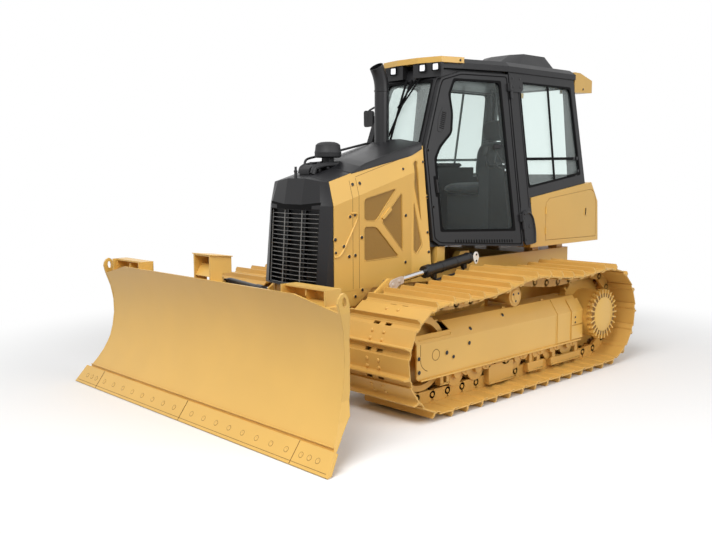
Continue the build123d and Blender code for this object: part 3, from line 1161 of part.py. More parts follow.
def write_all():
    """Build every node and write it."""
    keep_pair("track_chain", track_chain())
    keep_pair("sprocket", sprocket())
    case, hub = final_drive()
    keep_pair("final_drive", case, hub)
    keep_pair("track_wheels", *rollers_and_idler())
    keep_pair("track_frame", track_frame())
    keep("main_frame", main_frame())
    keep("engine", *engine())
    keep_pair("hood_side", hood_side())
    meshes = hood_mesh()
    keep("hood_mesh", *meshes, *[other_side(mesh) for mesh in meshes])
    keep("hood_cap", hood_cap())
    keep("nose", nose())
    keep("grille", grille())
    keep("exhaust_stack", exhaust_stack())
    keep("air_precleaner", air_precleaner())
    keep("cab_frame", cab_frame())
    keep("cab_roof", cab_roof())
    keep("cab_glass", *cab_glass())
    keep_pair("door", door())
    keep_pair("door_glass", door_glass())
    keep("visor", *visor())
    keep("lamp_housings", *lamp_housings())
    keep("rear_body", rear_body())
    keep_pair("service_door", service_door())
    keep("seat_base", *seat_base())
    keep("seat_cushions", *seat_cushions())
    keep("lift_frame", lift_frame())
    keep("angle_yoke", angle_yoke())
    keep("blade", blade())
    keep("cutting_edge", *cutting_edge())
    boss = EYE_GAP - 1
    barrel, rod = cylinder((LIFT_BARREL_X, LIFT_CYLINDER_Y, LIFT_BARREL_Z), (LIFT_EYE_X, LIFT_CYLINDER_Y, LIFT_EYE_Z),
                           (0, 1, 0), LIFT_BARREL_LENGTH, LIFT_BARREL_RADIUS, LIFT_ROD_RADIUS, LIFT_TRAVEL, boss)
    keep_pair("lift_barrel", barrel)
    keep_pair("lift_rod", rod)
    barrel, rod = cylinder((ANGLE_BARREL_X, ANGLE_BARREL_Y, ANGLE_Z), (WING_X, WING_Y, ANGLE_Z),
                           (0, 0, 1), ANGLE_BARREL_LENGTH, ANGLE_BARREL_RADIUS, ANGLE_ROD_RADIUS, ANGLE_TRAVEL, -boss)
    keep_pair("angle_barrel", barrel)
    keep_pair("angle_rod", rod)
    barrel, rod = cylinder((TILT_PIN_X, TILT_PIN_Y, TILT_PIN_Z), (TILT_PIN_X, TILT_EYE_Y, TILT_EYE_Z),
                           (1, 0, 0), TILT_BARREL_LENGTH, TILT_BARREL_RADIUS, TILT_ROD_RADIUS, TILT_TRAVEL, boss)
    keep("tilt_barrel", barrel)
    keep("tilt_rod", rod)


write_all()
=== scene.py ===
"""The looks of a small crawler bulldozer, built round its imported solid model.

Shapes are written in millimetres from the sprocket axle, with X forwards, Y to the machine's left and Z up
from the ground. Skin brings them to the model's own frame in metres. A shape is a grid worked out as whole
arrays, or an outline carried along a path, and every piece rides on the body that carries it.
"""
import json
import logging
import math
from collections.abc import Iterator
from dataclasses import dataclass, field
from enum import Enum

import bmesh
import bpy
import numpy as np
from mathutils import Matrix, Vector


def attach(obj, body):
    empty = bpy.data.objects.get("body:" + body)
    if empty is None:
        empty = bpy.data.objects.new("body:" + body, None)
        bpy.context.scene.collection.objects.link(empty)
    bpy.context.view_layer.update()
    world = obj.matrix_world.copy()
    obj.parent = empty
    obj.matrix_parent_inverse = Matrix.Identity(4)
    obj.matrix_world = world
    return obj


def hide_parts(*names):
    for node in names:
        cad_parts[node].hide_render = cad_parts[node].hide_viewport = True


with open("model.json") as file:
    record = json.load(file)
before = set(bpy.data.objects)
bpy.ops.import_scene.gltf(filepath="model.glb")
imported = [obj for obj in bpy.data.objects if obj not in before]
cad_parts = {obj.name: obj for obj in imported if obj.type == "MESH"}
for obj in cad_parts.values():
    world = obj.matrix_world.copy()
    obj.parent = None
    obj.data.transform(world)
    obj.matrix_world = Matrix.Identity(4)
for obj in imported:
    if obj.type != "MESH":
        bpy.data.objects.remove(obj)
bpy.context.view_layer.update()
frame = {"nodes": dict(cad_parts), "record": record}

LOG = logging.getLogger("bulldozer")
ORIGIN_X = 1250.0              # from the sprocket axle forwards to the model's origin
MM = 1000.0                    # millimetres to a metre
SHARP_ANGLE = math.radians(32.0)
ACROSS = (0.0, 1.0, 0.0)       # to the machine's left
UPWARDS = (0.0, 0.0, 1.0)
BLACK, WHITE = (0.0, 0.0, 0.0, 1.0), (1.0, 1.0, 1.0, 1.0)
Place = tuple | np.ndarray     # a point or a direction


class Side(Enum):
    """The machine's two sides, each with the sign of Y there."""

    LEFT = 1
    RIGHT = -1

    @property
    def label(self) -> str:
        """The side as it stands in names."""
        return self.name.lower()


class Slot(Enum):
    """The record's material slots."""

    YELLOW = "yellow_paint"
    TRACK = "track_paint"
    GEAR = "running_gear"
    MESH = "mesh_paint"
    DARK = "dark_paint"
    BLACK = "black_parts"
    STEEL = "black_steel"
    ENGINE = "engine_grey"
    CHROME = "chrome_rod"
    GLASS = "glass"
    FABRIC = "seat_fabric"


# ---- numbers and outlines
def linear(red: int, green: int, blue: int) -> tuple[float, float, float, float]:
    """An 8-bit sRGB colour as linear light: a power of 2.4 above a short straight foot.

    Args:
        red: 0 to 255.
        green: 0 to 255.
        blue: 0 to 255.

    Returns:
        The colour with an alpha of 1.
    """
    share = np.array([red, green, blue], float) / 255.0
    light = np.where(share <= 0.04045, share / 12.92, ((share + 0.055) / 1.055) ** 2.4)
    return (float(light[0]), float(light[1]), float(light[2]), 1.0)


def toned(colour: tuple[float, ...], share: float) -> tuple[float, float, float, float]:
    """A linear colour times a share, and never past white."""
    red, green, blue = (min(channel * share, 1.0) for channel in colour[:3])
    return (red, green, blue, 1.0)


def unit(vectors: np.ndarray) -> np.ndarray:
    """Each vector over its own length."""
    vectors = np.asarray(vectors, float)
    return vectors / np.maximum(np.linalg.norm(vectors, axis=-1, keepdims=True), 1e-12)


def ring(radius: float, sides: int, start: float = 0.0) -> np.ndarray:
    """Points round a circle: radius times the cosine and sine of equal steps."""
    turn = start + 2.0 * math.pi * np.arange(sides) / sides
    return radius * np.stack([np.cos(turn), np.sin(turn)], axis=1)


def rounded(outline: np.ndarray, radius: float | np.ndarray, steps: int = 5) -> np.ndarray:
    """A closed outline with its corners rounded.

    Each corner P becomes the quadratic curve (1-t)^2 A + 2t(1-t) P + t^2 B, where A and B lie on the two
    edges, one radius away from P, or 45% of the edge where it is short.

    Args:
        outline: corners in order, shape (n, 2) or (n, 3).
        radius: one radius, or one for each corner.
        steps: points for each corner.

    Returns:
        The rounded outline, shape (n * steps, same).
    """
    corners = np.asarray(outline, float)
    back, ahead = np.roll(corners, 1, axis=0) - corners, np.roll(corners, -1, axis=0) - corners
    reach = np.broadcast_to(np.asarray(radius, float), (len(corners),))[:, None]
    first = corners + unit(back) * np.minimum(reach, 0.45 * np.linalg.norm(back, axis=1, keepdims=True))
    last = corners + unit(ahead) * np.minimum(reach, 0.45 * np.linalg.norm(ahead, axis=1, keepdims=True))
    t = np.linspace(0.0, 1.0, steps)[None, :, None]
    curve = (1 - t) ** 2 * first[:, None] + 2 * t * (1 - t) * corners[:, None] + t ** 2 * last[:, None]
    return curve.reshape(-1, corners.shape[1])


def smooth_path(points: list | np.ndarray, radius: float, steps: int = 6) -> np.ndarray:
    """An open path with its inner corners rounded by the same quadratic curve; its two ends stay.

    Args:
        points: corners in order.
        radius: how far from a corner its curve starts.
        steps: points for each corner.

    Returns:
        The path, shape (n, 3).
    """
    path = np.asarray(points, float)
    if len(path) < 3:
        return path
    bent = rounded(path, radius, steps).reshape(len(path), steps, 3)
    return np.concatenate([path[:1], bent[1:-1].reshape(-1, 3), path[-1:]])


def offset(outline: np.ndarray, gap: float) -> np.ndarray:
    """A closed (x, z) outline moved by gap, outwards where it is positive.

    Each corner moves by gap * (n1 + n2) / (1 + n1 . n2), where n1 and n2 are the outward normals of its
    edges; a very sharp corner has 0.3 under the line, which keeps it near.

    Args:
        outline: corners in order, shape (n, 2).
        gap: how far each edge moves, in millimetres.

    Returns:
        The moved corners, shape (n, 2).
    """
    corners = np.asarray(outline, float)
    runs = unit(np.roll(corners, -1, axis=0) - corners)
    after = np.roll(corners, -1, axis=0)
    area = np.sum(corners[:, 0] * after[:, 1] - after[:, 0] * corners[:, 1])
    ahead = np.stack([runs[:, 1], -runs[:, 0]], axis=1) * np.sign(area)
    back = np.roll(ahead, 1, axis=0)
    reach = 1.0 + np.sum(ahead * back, axis=1, keepdims=True)
    return corners + gap * (ahead + back) / np.maximum(reach, 0.3)


def facing(outline: np.ndarray, x: np.ndarray | float) -> np.ndarray:
    """A (y, z) outline at one X, or with an X for each of its points."""
    return np.column_stack([np.broadcast_to(x, len(outline)), outline])


# ---- surfaces
@dataclass
class Skin:
    """The points and faces of one piece, gathered shape by shape, in millimetres from the sprocket axle."""

    points: list[np.ndarray] = field(default_factory=list)
    faces: list[tuple[np.ndarray, int]] = field(default_factory=list)
    count: int = 0

    def add(self, points: np.ndarray, faces: list[np.ndarray], finish: int = 0) -> "Skin":
        """Take in a shape.

        Args:
            points: shape (n, 3).
            faces: index arrays, each of faces with the same number of corners.
            finish: which of the piece's finishes the faces wear.

        Returns:
            This skin, so that calls can follow each other.
        """
        points = np.asarray(points, float).reshape(-1, 3)
        self.points.append(points)
        self.faces += [(np.asarray(block, int) + self.count, finish) for block in faces]
        self.count += len(points)
        return self

    def grid(self, points: np.ndarray, finish: int = 0) -> "Skin":
        """Take in a grid as quads, its last j joined to the first, with a cap at both ends.

        Args:
            points: points[i, j], shape (rows, round, 3).
            finish: which finish.

        Returns:
            This skin.
        """
        rows, cols = points.shape[:2]
        index = np.arange(rows * cols).reshape(rows, cols)
        right = np.roll(index, -1, axis=1)
        quads = np.stack([index[:-1], right[:-1], right[1:], index[1:]], axis=-1).reshape(-1, 4)
        return self.add(points, [quads, index[0][None, ::-1], index[-1][None, :]], finish)

    def loop(self, points: np.ndarray, finish: int = 0) -> "Skin":
        """Take in a grid that joins up both ways, as a ring does.

        Args:
            points: points[i, j], shape (rows, round, 3).
            finish: which finish.

        Returns:
            This skin.
        """
        index = np.arange(points.shape[0] * points.shape[1]).reshape(points.shape[:2])
        down, right = np.roll(index, -1, axis=0), np.roll(index, -1, axis=1)
        quads = np.stack([index, right, np.roll(down, -1, axis=1), down], axis=-1).reshape(-1, 4)
        return self.add(points, [quads], finish)

    def frame(self, outer: np.ndarray, inner: np.ndarray, shift: Place, finish: int = 0) -> "Skin":
        """A flat frame between two outlines with as many points each, as thick as the shift."""
        shift = np.asarray(shift, float)
        return self.loop(np.stack([outer, inner, inner + shift, outer + shift]), finish)

    def slab(self, front: np.ndarray, shift: Place, finish: int = 0) -> "Skin":
        """A surface of points[i, j] made a closed sheet, as thick as the shift."""
        back = front + np.asarray(shift, float)
        return self.grid(np.concatenate([front, back[:, ::-1]], axis=1), finish=finish)

    def plug(self, foot: Place, out: Place, radius: float, washer: int = 0, head: int = 1,
             sides: int = 16) -> "Skin":
        """A fastener: a thin washer, and a low head on it.

        Args:
            foot: the middle of the washer's seat.
            out: the way that it points.
            radius: the head's.
            washer: the washer's finish.
            head: the head's finish.
            sides: how many faces the head has round it.

        Returns:
            This skin.
        """
        self.lathe([(radius + 5, -1.5), (radius + 5, 1.2), (radius + 3, 2.0)], foot, out, 18, washer)
        low_head = [(radius, 0.0), (radius, 3.6), (radius - 2.5, 5.0), (2.0, 5.0)]
        return self.lathe(low_head, foot, out, sides, head)

    def prism(self, outline: np.ndarray, shift: Place, finish: int = 0) -> "Skin":
        """A flat outline carried along one straight shift, closed at both ends."""
        outline = np.asarray(outline, float)
        return self.grid(np.stack([outline, outline + np.asarray(shift, float)]), finish=finish)

    def plate_y(self, outline: list, y_low: float, y_high: float, finish: int = 0) -> "Skin":
        """An outline of (x, z) corners, solid between two Y planes.

        Args:
            outline: the corners in order.
            y_low: the first plane.
            y_high: the second plane.
            finish: which finish.

        Returns:
            This skin.
        """
        flat = np.asarray(outline, float)
        start = np.stack([flat[:, 0], np.full(len(flat), float(y_low)), flat[:, 1]], axis=1)
        return self.prism(start, (0.0, y_high - y_low, 0.0), finish)

    def block(self, low: Place, high: Place, chamfer: float = 2.0, finish: int = 0) -> "Skin":
        """A block with every edge cut at 45 degrees: four eight-cornered rings, the outer two drawn in.

        Args:
            low: its lowest corner.
            high: its highest corner.
            chamfer: how far each edge is cut back.
            finish: which finish.

        Returns:
            This skin.
        """
        low, high = np.asarray(low, float), np.asarray(high, float)
        cut = min(chamfer, 0.45 * float(np.min(high - low)))
        middle, half = (low + high) / 2, (high - low) / 2
        signs = np.array([(1, -1), (1, 1), (-1, 1), (-1, -1)], float)
        wide = np.stack([signs * (half[:2] - (0, cut)), signs * (half[:2] - (cut, 0))], axis=1)
        wide[1::2] = wide[1::2, ::-1]
        outline = wide.reshape(8, 2)
        narrow = outline - np.sign(outline) * cut
        heights = np.array([-half[2], -half[2] + cut, half[2] - cut, half[2]])
        flats = np.stack([narrow, outline, outline, narrow])
        rings = np.concatenate([flats, np.broadcast_to(heights[:, None, None], (4, 8, 1))], axis=2)
        return self.grid(rings + middle, finish=finish)

    def lathe(self, profile: list, origin: Place, axis: Place, sides: int = 24, finish: int = 0) -> "Skin":
        """A profile of (radius, height) turned about an axis: origin + height * axis + radius * (cos, sin).

        Args:
            profile: (radius, height) pairs from one end to the other; the ends are closed by flat caps.
            origin: where height 0 lies.
            axis: the way that height grows.
            sides: how many faces round.
            finish: which finish.

        Returns:
            This skin.
        """
        along = unit(np.asarray(axis, float))
        helper = np.array([0.0, 0.0, 1.0]) if abs(along[2]) < 0.9 else np.array([1.0, 0.0, 0.0])
        first = unit(np.cross(helper, along))
        second = np.cross(along, first)
        pairs = np.asarray(profile, float)
        circle = ring(1.0, sides, math.pi / sides)
        spokes = circle[:, :1] * first + circle[:, 1:] * second
        points = np.asarray(origin, float) + pairs[:, None, 1:] * along + pairs[:, None, :1] * spokes[None]
        return self.grid(points, finish=finish)

    def sweep(self, profile: np.ndarray | list, path: np.ndarray, up: Place = UPWARDS, closed: bool = False,
              finish: int = 0) -> "Skin":
        """A flat profile carried along a path: path + across * side + height * top at every point.

        The tangent is the mean of the two neighbouring runs, side is tangent x up, and top is side x tangent.

        Args:
            profile: (across, height) pairs in order.
            path: points, shape (m, 3).
            up: a direction that the path never follows.
            closed: whether the path ends where it starts.
            finish: which finish.

        Returns:
            This skin.
        """
        path, profile = np.asarray(path, float), np.asarray(profile, float)
        if closed:
            runs = unit(np.roll(path, -1, axis=0) - path)
            before = np.roll(runs, 1, axis=0)
        else:
            runs = unit(np.diff(path, axis=0))
            runs, before = np.concatenate([runs, runs[-1:]]), np.concatenate([runs[:1], runs])
        tangent = unit(runs + before)
        side = unit(np.cross(tangent, np.broadcast_to(np.asarray(up, float), tangent.shape)))
        top = np.cross(side, tangent)
        mitre = 1.0 / np.maximum(np.sum(tangent * runs, axis=1), 0.5)[:, None, None]
        points = (path[:, None] + mitre * profile[None, :, :1] * side[:, None]
                  + profile[None, :, 1:] * top[:, None])
        return self.loop(points, finish) if closed else self.grid(points, finish=finish)

    def pipe(self, path: np.ndarray, radius: float, sides: int = 10, up: Place = UPWARDS,
             finish: int = 0) -> "Skin":
        """A round bar along an open path."""
        return self.sweep(ring(radius, sides), path, up, finish=finish)

    def placed(self, origins: np.ndarray, turns: np.ndarray) -> "Skin":
        """This skin repeated: origin + turn @ point, for each origin and its turn.

        Args:
            origins: shape (n, 3).
            turns: shape (n, 3, 3).

        Returns:
            All of them as one new skin.
        """
        points = np.concatenate(self.points)
        moved = np.einsum("kab,nb->kna", turns, points) + origins[:, None]
        made = Skin([moved.reshape(-1, 3)], [], moved.shape[0] * moved.shape[1])
        steps = (np.arange(len(moved)) * len(points))[:, None, None]
        made.faces = [((block[None] + steps).reshape(-1, block.shape[1]), finish)
                      for block, finish in self.faces]
        return made

    def join(self, other: "Skin") -> "Skin":
        """Take in another skin with its own finishes.

        Args:
            other: the skin.

        Returns:
            This skin.
        """
        self.faces += [(block + self.count, finish) for block, finish in other.faces]
        self.points += other.points
        self.count += other.count
        return self

    def mirrored(self) -> "Skin":
        """The same shape on the machine's other side: Y turned round, and each face's order with it.

        Returns:
            A new skin.
        """
        made = Skin([np.concatenate(self.points) * (1.0, -1.0, 1.0)], [], self.count)
        made.faces = [(block[:, ::-1], finish) for block, finish in self.faces]
        return made

    def both(self) -> "Skin":
        """This skin and its mirror image as one."""
        return Skin(list(self.points), list(self.faces), self.count).join(self.mirrored())

    def piece(self, name: str, body: str, finishes: list[bpy.types.Material], slot: Slot, bevel: float = 0.0,
              replaces: tuple[str, ...] = ()) -> bpy.types.Object:
        """Make the object, in metres in the model's frame, and let it ride on a body.

        Args:
            name: the piece's name.
            body: the body that carries it.
            finishes: its materials, in the order that the faces number them.
            slot: the record's material slot; not used.
            bevel: how far its edges are rounded, in millimetres.
            replaces: the nodes of the solid model that it stands for.

        Returns:
            The new object.
        """
        points = np.concatenate(self.points) / MM - (ORIGIN_X / MM, 0.0, 0.0)
        sizes = np.concatenate([np.full(len(block), block.shape[1]) for block, _ in self.faces])
        mesh = bpy.data.meshes.new(name)
        mesh.vertices.add(len(points))
        mesh.vertices.foreach_set("co", points.astype(np.float32).ravel())
        corners = np.concatenate([block.ravel() for block, _ in self.faces])
        mesh.loops.add(len(corners))
        mesh.loops.foreach_set("vertex_index", corners.astype(np.int32))
        mesh.polygons.add(len(sizes))
        starts = np.concatenate([[0], np.cumsum(sizes)[:-1]])
        mesh.polygons.foreach_set("loop_start", starts.astype(np.int32))
        wears = np.concatenate([np.full(len(block), finish) for block, finish in self.faces])
        mesh.polygons.foreach_set("material_index", wears.astype(np.int32))
        mesh.update(calc_edges=True)
        mesh.validate()
        shell = bmesh.new()
        shell.from_mesh(mesh)
        bmesh.ops.recalc_face_normals(shell, faces=shell.faces)
        shell.to_mesh(mesh)
        shell.free()
        for material in finishes:
            mesh.materials.append(material)
        mesh.polygons.foreach_set("use_smooth", np.ones(len(mesh.polygons), bool))
        mesh.set_sharp_from_angle(angle=SHARP_ANGLE)
        made = show(name, mesh)
        if bevel:
            round_edges(made, bevel)
        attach(made, body)
        if replaces:
            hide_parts(*replaces)
        LOG.info("%s: %d faces on %s", name, len(mesh.polygons), body)
        return made

    def pair(self, name: str, body: str, finishes: list[bpy.types.Material], slot: Slot,
             bevel: float = 0.0) -> None:
        """A left piece on the left one of two bodies, and its mirror image on the right one.

        Args:
            name: the pieces' name, to which the side is added.
            body: the bodies' name, to which the side is added.
            finishes: their materials.
            slot: the record's material slot.
            bevel: how far their edges are rounded, in millimetres.
        """
        for side, skin in ((Side.LEFT, self), (Side.RIGHT, self.mirrored())):
            skin.piece(f"{name}_{side.label}", f"{body}_{side.label}", finishes, slot, bevel)


def show(name: str, data: bpy.types.ID) -> bpy.types.Object:
    """A new object in the scene.

    Args:
        name: its name.
        data: its mesh, lamp or camera.

    Returns:
        The object.
    """
    made = bpy.data.objects.new(name, data)
    bpy.context.scene.collection.objects.link(made)
    return made


def round_edges(piece: bpy.types.Object, width: float) -> None:
    """A live bevel on every edge sharper than the smooth ones.

    Args:
        piece: the object.
        width: in millimetres.
    """
    bevel = piece.modifiers.new("rounded edges", "BEVEL")
    bevel.width, bevel.segments = width / MM, 2
    bevel.limit_method, bevel.angle_limit = "ANGLE", SHARP_ANGLE
    bevel.harden_normals = True


# ---- shader maths
class Socket:
    """An output socket of a finish, on which Python's operators add Math nodes."""

    def __init__(self, shader: "Shader", socket: bpy.types.NodeSocket) -> None:
        """Wrap one socket."""
        self.shader, self.socket = shader, socket

    def math(self, operation: str, *values: "Socket | float") -> "Socket":
        """This socket and other values through one Math node."""
        return self.shader.node("ShaderNodeMath", {"operation": operation}, [self, *values])

    def __add__(self, other: "Socket | float") -> "Socket":
        """self + other."""
        return self.math("ADD", other)

    __radd__ = __add__

    def __mul__(self, other: "Socket | float") -> "Socket":
        """self * other."""
        return self.math("MULTIPLY", other)

    __rmul__ = __mul__

    def __sub__(self, other: "Socket | float") -> "Socket":
        """self - other."""
        return self.math("SUBTRACT", other)

    def __rsub__(self, other: "Socket | float") -> "Socket":
        """other - self."""
        return self.shader.node("ShaderNodeMath", {"operation": "SUBTRACT"}, [other, self])

    def step(self, low: float, high: float) -> "Socket":
        """0 below low, 1 above high, and smooth between."""
        return self.shader.node("ShaderNodeMapRange", {"interpolation_type": "SMOOTHSTEP", "clamp": True},
                                {"Value": self, "From Min": low, "From Max": high})


class Shader:
    """One material and its nodes."""

    def __init__(self, name: str, world: bpy.types.World | None = None) -> None:
        """Start a material with its Principled shader, or a world with its background, and the output.

        Args:
            name: the material's.
            world: the world, where it is one.
        """
        self.material = world or bpy.data.materials.new(name)
        self.material.use_nodes = True
        self.tree = self.material.node_tree
        self.tree.nodes.clear()
        self.output = self.tree.nodes.new("ShaderNodeOutputWorld" if world else "ShaderNodeOutputMaterial")
        self.surface = self.tree.nodes.new("ShaderNodeBackground" if world else "ShaderNodeBsdfPrincipled")
        self.tree.links.new(self.surface.outputs[0], self.output.inputs["Surface"])

    def put(self, socket: bpy.types.NodeSocket, value: object) -> None:
        """Link a wrapped socket to an input, or set the input's own value.

        Args:
            socket: the input.
            value: what it gets.
        """
        if isinstance(value, Socket):
            self.tree.links.new(value.socket, socket)
        else:
            socket.default_value = value

    def node(self, kind: str, settings: dict | None = None, inputs: dict | list | None = None,
             output: int | str = 0) -> Socket:
        """Any node.

        Args:
            kind: the node's type.
            settings: its properties, set first; "stops" fills a colour ramp with (place, colour) pairs.
            inputs: values or sockets, by input name or in order.
            output: which output to hand back.

        Returns:
            The chosen output, wrapped.
        """
        made = self.tree.nodes.new(kind)
        for name, value in (settings or {}).items():
            if name == "stops":
                ramp = made.color_ramp.elements
                while len(ramp) < len(value):
                    ramp.new(0.5)
                for element, (place, colour) in zip(ramp, value):
                    element.position, element.color = place, colour
            else:
                setattr(made, name, value)
        pairs = inputs.items() if isinstance(inputs, dict) else enumerate(inputs or [])
        for name, value in pairs:
            self.put(made.inputs[name], value)
        return Socket(self, made.outputs[output])

    def set(self, **values: object) -> "Shader":
        """Set or link the surface shader's inputs; an underscore in a name stands for a space.

        Returns:
            This shader.
        """
        for name, value in values.items():
            self.put(self.surface.inputs[name.replace("_", " ")], value)
        return self

    def place(self) -> Socket:
        """The point's own place in the model, in metres."""
        return self.node("ShaderNodeTexCoord", output="Object")

    def axis(self, name: str) -> Socket:
        """One coordinate of that place: X, Y or Z."""
        return self.node("ShaderNodeSeparateXYZ", None, [self.place()], name)

    def noise(self, scale: float, detail: float = 3.0) -> Socket:
        """Soft noise from 0 to 1, so many cells to a metre."""
        return self.node("ShaderNodeTexNoise", None,
                         {"Vector": self.place(), "Scale": scale, "Detail": detail, "Roughness": 0.55})

    def cells(self, scale: float, randomness: float = 1.0) -> Socket:
        """How far the nearest of scattered points is, as a share of the cells' size, so many to a metre."""
        return self.node("ShaderNodeTexVoronoi", {"feature": "F1"},
                         {"Vector": self.place(), "Scale": scale, "Randomness": randomness})

    def blend(self, mask: "Socket | float", first: object, second: object) -> Socket:
        """One colour over another through a Mix node.

        Args:
            mask: 0 shows the first, 1 the second.
            first: a colour or a socket.
            second: a colour or a socket.

        Returns:
            The mixed colour.
        """
        made = self.tree.nodes.new("ShaderNodeMix")
        made.data_type = "RGBA"
        self.put(made.inputs[0], mask)
        self.put(made.inputs[6], first)
        self.put(made.inputs[7], second)
        return Socket(self, made.outputs[2])

    def bump(self, height: Socket, strength: float, distance: float) -> Socket:
        """A bumped normal from a height; distance is in metres."""
        inputs = {"Strength": strength, "Distance": distance, "Height": height}
        return self.node("ShaderNodeBump", None, inputs)


# ---- finishes
@dataclass(frozen=True)
class Paint:
    """Satin paint on steel, or bare metal: colour that drifts a little, a fine peel and a thin coat.

    Rounding, in millimetres, softens the light on edges; shine is the specular level.
    """

    name: str
    colour: tuple[int, int, int]
    roughness: float = 0.42
    coat: float = 0.25
    drift: float = 0.06
    peel: float = 0.05
    rounding: float = 0.0
    shine: float = 0.5

    def make(self) -> bpy.types.Material:
        """Build it: the colour times 1 +- drift, and roughness and bump from finer noise.

        Returns:
            The material.
        """
        shader = Shader(self.name)
        base = linear(*self.colour)
        cloud, grain = shader.noise(2.3, 2.0), shader.noise(420.0, 2.0)
        colour = shader.blend(cloud.step(0.3, 0.7), toned(base, 1 - self.drift), toned(base, 1 + self.drift))
        rough = (shader.noise(9.0, 3.0) - 0.5) * 0.12 + self.roughness
        inputs = {"Strength": self.peel, "Distance": 0.0004, "Height": grain}
        if self.rounding:
            inputs["Normal"] = shader.node("ShaderNodeBevel", {"samples": 4}, {"Radius": self.rounding / MM})
        bump = shader.node("ShaderNodeBump", None, inputs)
        shader.set(Base_Color=colour, Roughness=rough, Normal=bump, Coat_Weight=self.coat,
                   Coat_Roughness=0.18, Specular_IOR_Level=self.shine)
        return shader.material


@dataclass(frozen=True)
class Moulded:
    """Moulded plastic: one colour in a fine pebbled grain."""

    name: str
    colour: tuple[int, int, int]
    roughness: float = 0.6
    grain: float = 900.0
    strength: float = 0.12

    def make(self) -> bpy.types.Material:
        """Build it: cell noise gives the grain, and soft noise varies the tone and the roughness.

        Returns:
            The material.
        """
        shader = Shader(self.name)
        base = linear(*self.colour)
        tone = shader.blend(shader.noise(5.0).step(0.35, 0.65), toned(base, 0.92), base)
        shader.set(Base_Color=tone, Roughness=shader.noise(14.0) * 0.14 + (self.roughness - 0.07),
                   Normal=shader.bump(shader.cells(self.grain), self.strength, 0.0004))
        return shader.material


@dataclass(frozen=True)
class Chrome:
    """Hard chrome, finely ground."""

    name: str = "hard chrome"

    def make(self) -> bpy.types.Material:
        """Build it: fine noise gives the ground surface its roughness.

        Returns:
            The material.
        """
        shader = Shader(self.name)
        shader.set(Base_Color=linear(214, 214, 216), Metallic=1.0,
                   Roughness=shader.noise(60.0) * 0.1 + 0.08,
                   Normal=shader.bump(shader.noise(700.0), 0.04, 0.0002))
        return shader.material


@dataclass(frozen=True)
class Glass:
    """Tinted cab glass, thin enough not to bend the view: part clear, part glossy pane."""

    name: str
    tint: tuple[int, int, int]
    clear: float = 0.997

    def make(self) -> bpy.types.Material:
        """Build it: a tinted see-through shader mixed with a glossy one by Fresnel.

        Returns:
            The material.
        """
        shader = Shader(self.name)
        through = shader.tree.nodes.new("ShaderNodeBsdfTransparent")
        through.inputs["Color"].default_value = linear(*self.tint)
        shader.set(Base_Color=linear(*self.tint), Roughness=0.04, IOR=1.5, Alpha=1.0)
        glaze = shader.node("ShaderNodeFresnel", None, {"IOR": 1.45}) * 0.25 + (1.0 - self.clear)
        mix = shader.tree.nodes.new("ShaderNodeMixShader")
        shader.put(mix.inputs[0], glaze)
        shader.tree.links.new(through.outputs[0], mix.inputs[1])
        shader.tree.links.new(shader.surface.outputs[0], mix.inputs[2])
        shader.tree.links.new(mix.outputs[0], shader.output.inputs["Surface"])
        return shader.material


@dataclass(frozen=True)
class Perforated:
    """Painted sheet full of small holes so many metres apart, each darker with painted shade."""

    name: str = "perforated sheet"
    colour: tuple[int, int, int] = (150, 114, 50)
    hole: tuple[int, int, int] = (122, 92, 38)
    pitch: float = 0.009

    def make(self) -> bpy.types.Material:
        """Build it: the middles of small cells are the holes, coloured darker as painted shade, and their
        rims bump the sheet.

        Returns:
            The material.
        """
        shader = Shader(self.name)
        # the holes take the darker colour: painted shade where one looks into them
        solid = shader.cells(1.0 / self.pitch, 0.25).step(0.16, 0.5)
        shader.set(Base_Color=shader.blend(solid, linear(*self.hole), linear(*self.colour)),
                   Roughness=shader.noise(20.0) * 0.1 + 0.5, Normal=shader.bump(solid, 0.4, 0.001))
        return shader.material


@dataclass(frozen=True)
class Fabric:
    """Woven seat cover: crossed threads in its own two directions."""

    name: str = "seat fabric"
    colour: tuple[int, int, int] = (52, 53, 56)
    thread: float = 0.0028

    def make(self) -> bpy.types.Material:
        """Build it: sine waves across and along the cover give warp and weft.

        Returns:
            The material.
        """
        shader = Shader(self.name)
        turn = 2.0 * math.pi / self.thread
        warp = (shader.axis("Y") * turn).math("SINE")
        weft = ((shader.axis("X") + shader.axis("Z")) * turn).math("SINE")
        weave = (warp * weft) * 0.5 + 0.5
        base = linear(*self.colour)
        shader.set(Base_Color=shader.blend(weave, toned(base, 0.7), base), Sheen_Weight=0.25,
                   Roughness=shader.noise(30.0) * 0.1 + 0.82, Normal=shader.bump(weave, 0.35, 0.0006))
        return shader.material


@dataclass(frozen=True)
class Lens:
    """A lamp's ribbed white lens with a faint painted glow."""

    name: str = "lamp lens"

    def make(self) -> bpy.types.Material:
        """Build it: fine upright ribs and a faint painted glow of its own.

        Returns:
            The material.
        """
        shader = Shader(self.name)
        ribs = (shader.axis("Y") * 900.0).math("SINE")
        # the emission is painted light: a faint glow that brightens the lenses and the latch knobs
        shader.set(Base_Color=linear(240, 242, 246), Roughness=shader.noise(40.0) * 0.05 + 0.1,
                   Normal=shader.bump(ribs, 0.3, 0.001),
                   Emission_Color=linear(250, 250, 255), Emission_Strength=0.35)
        return shader.material


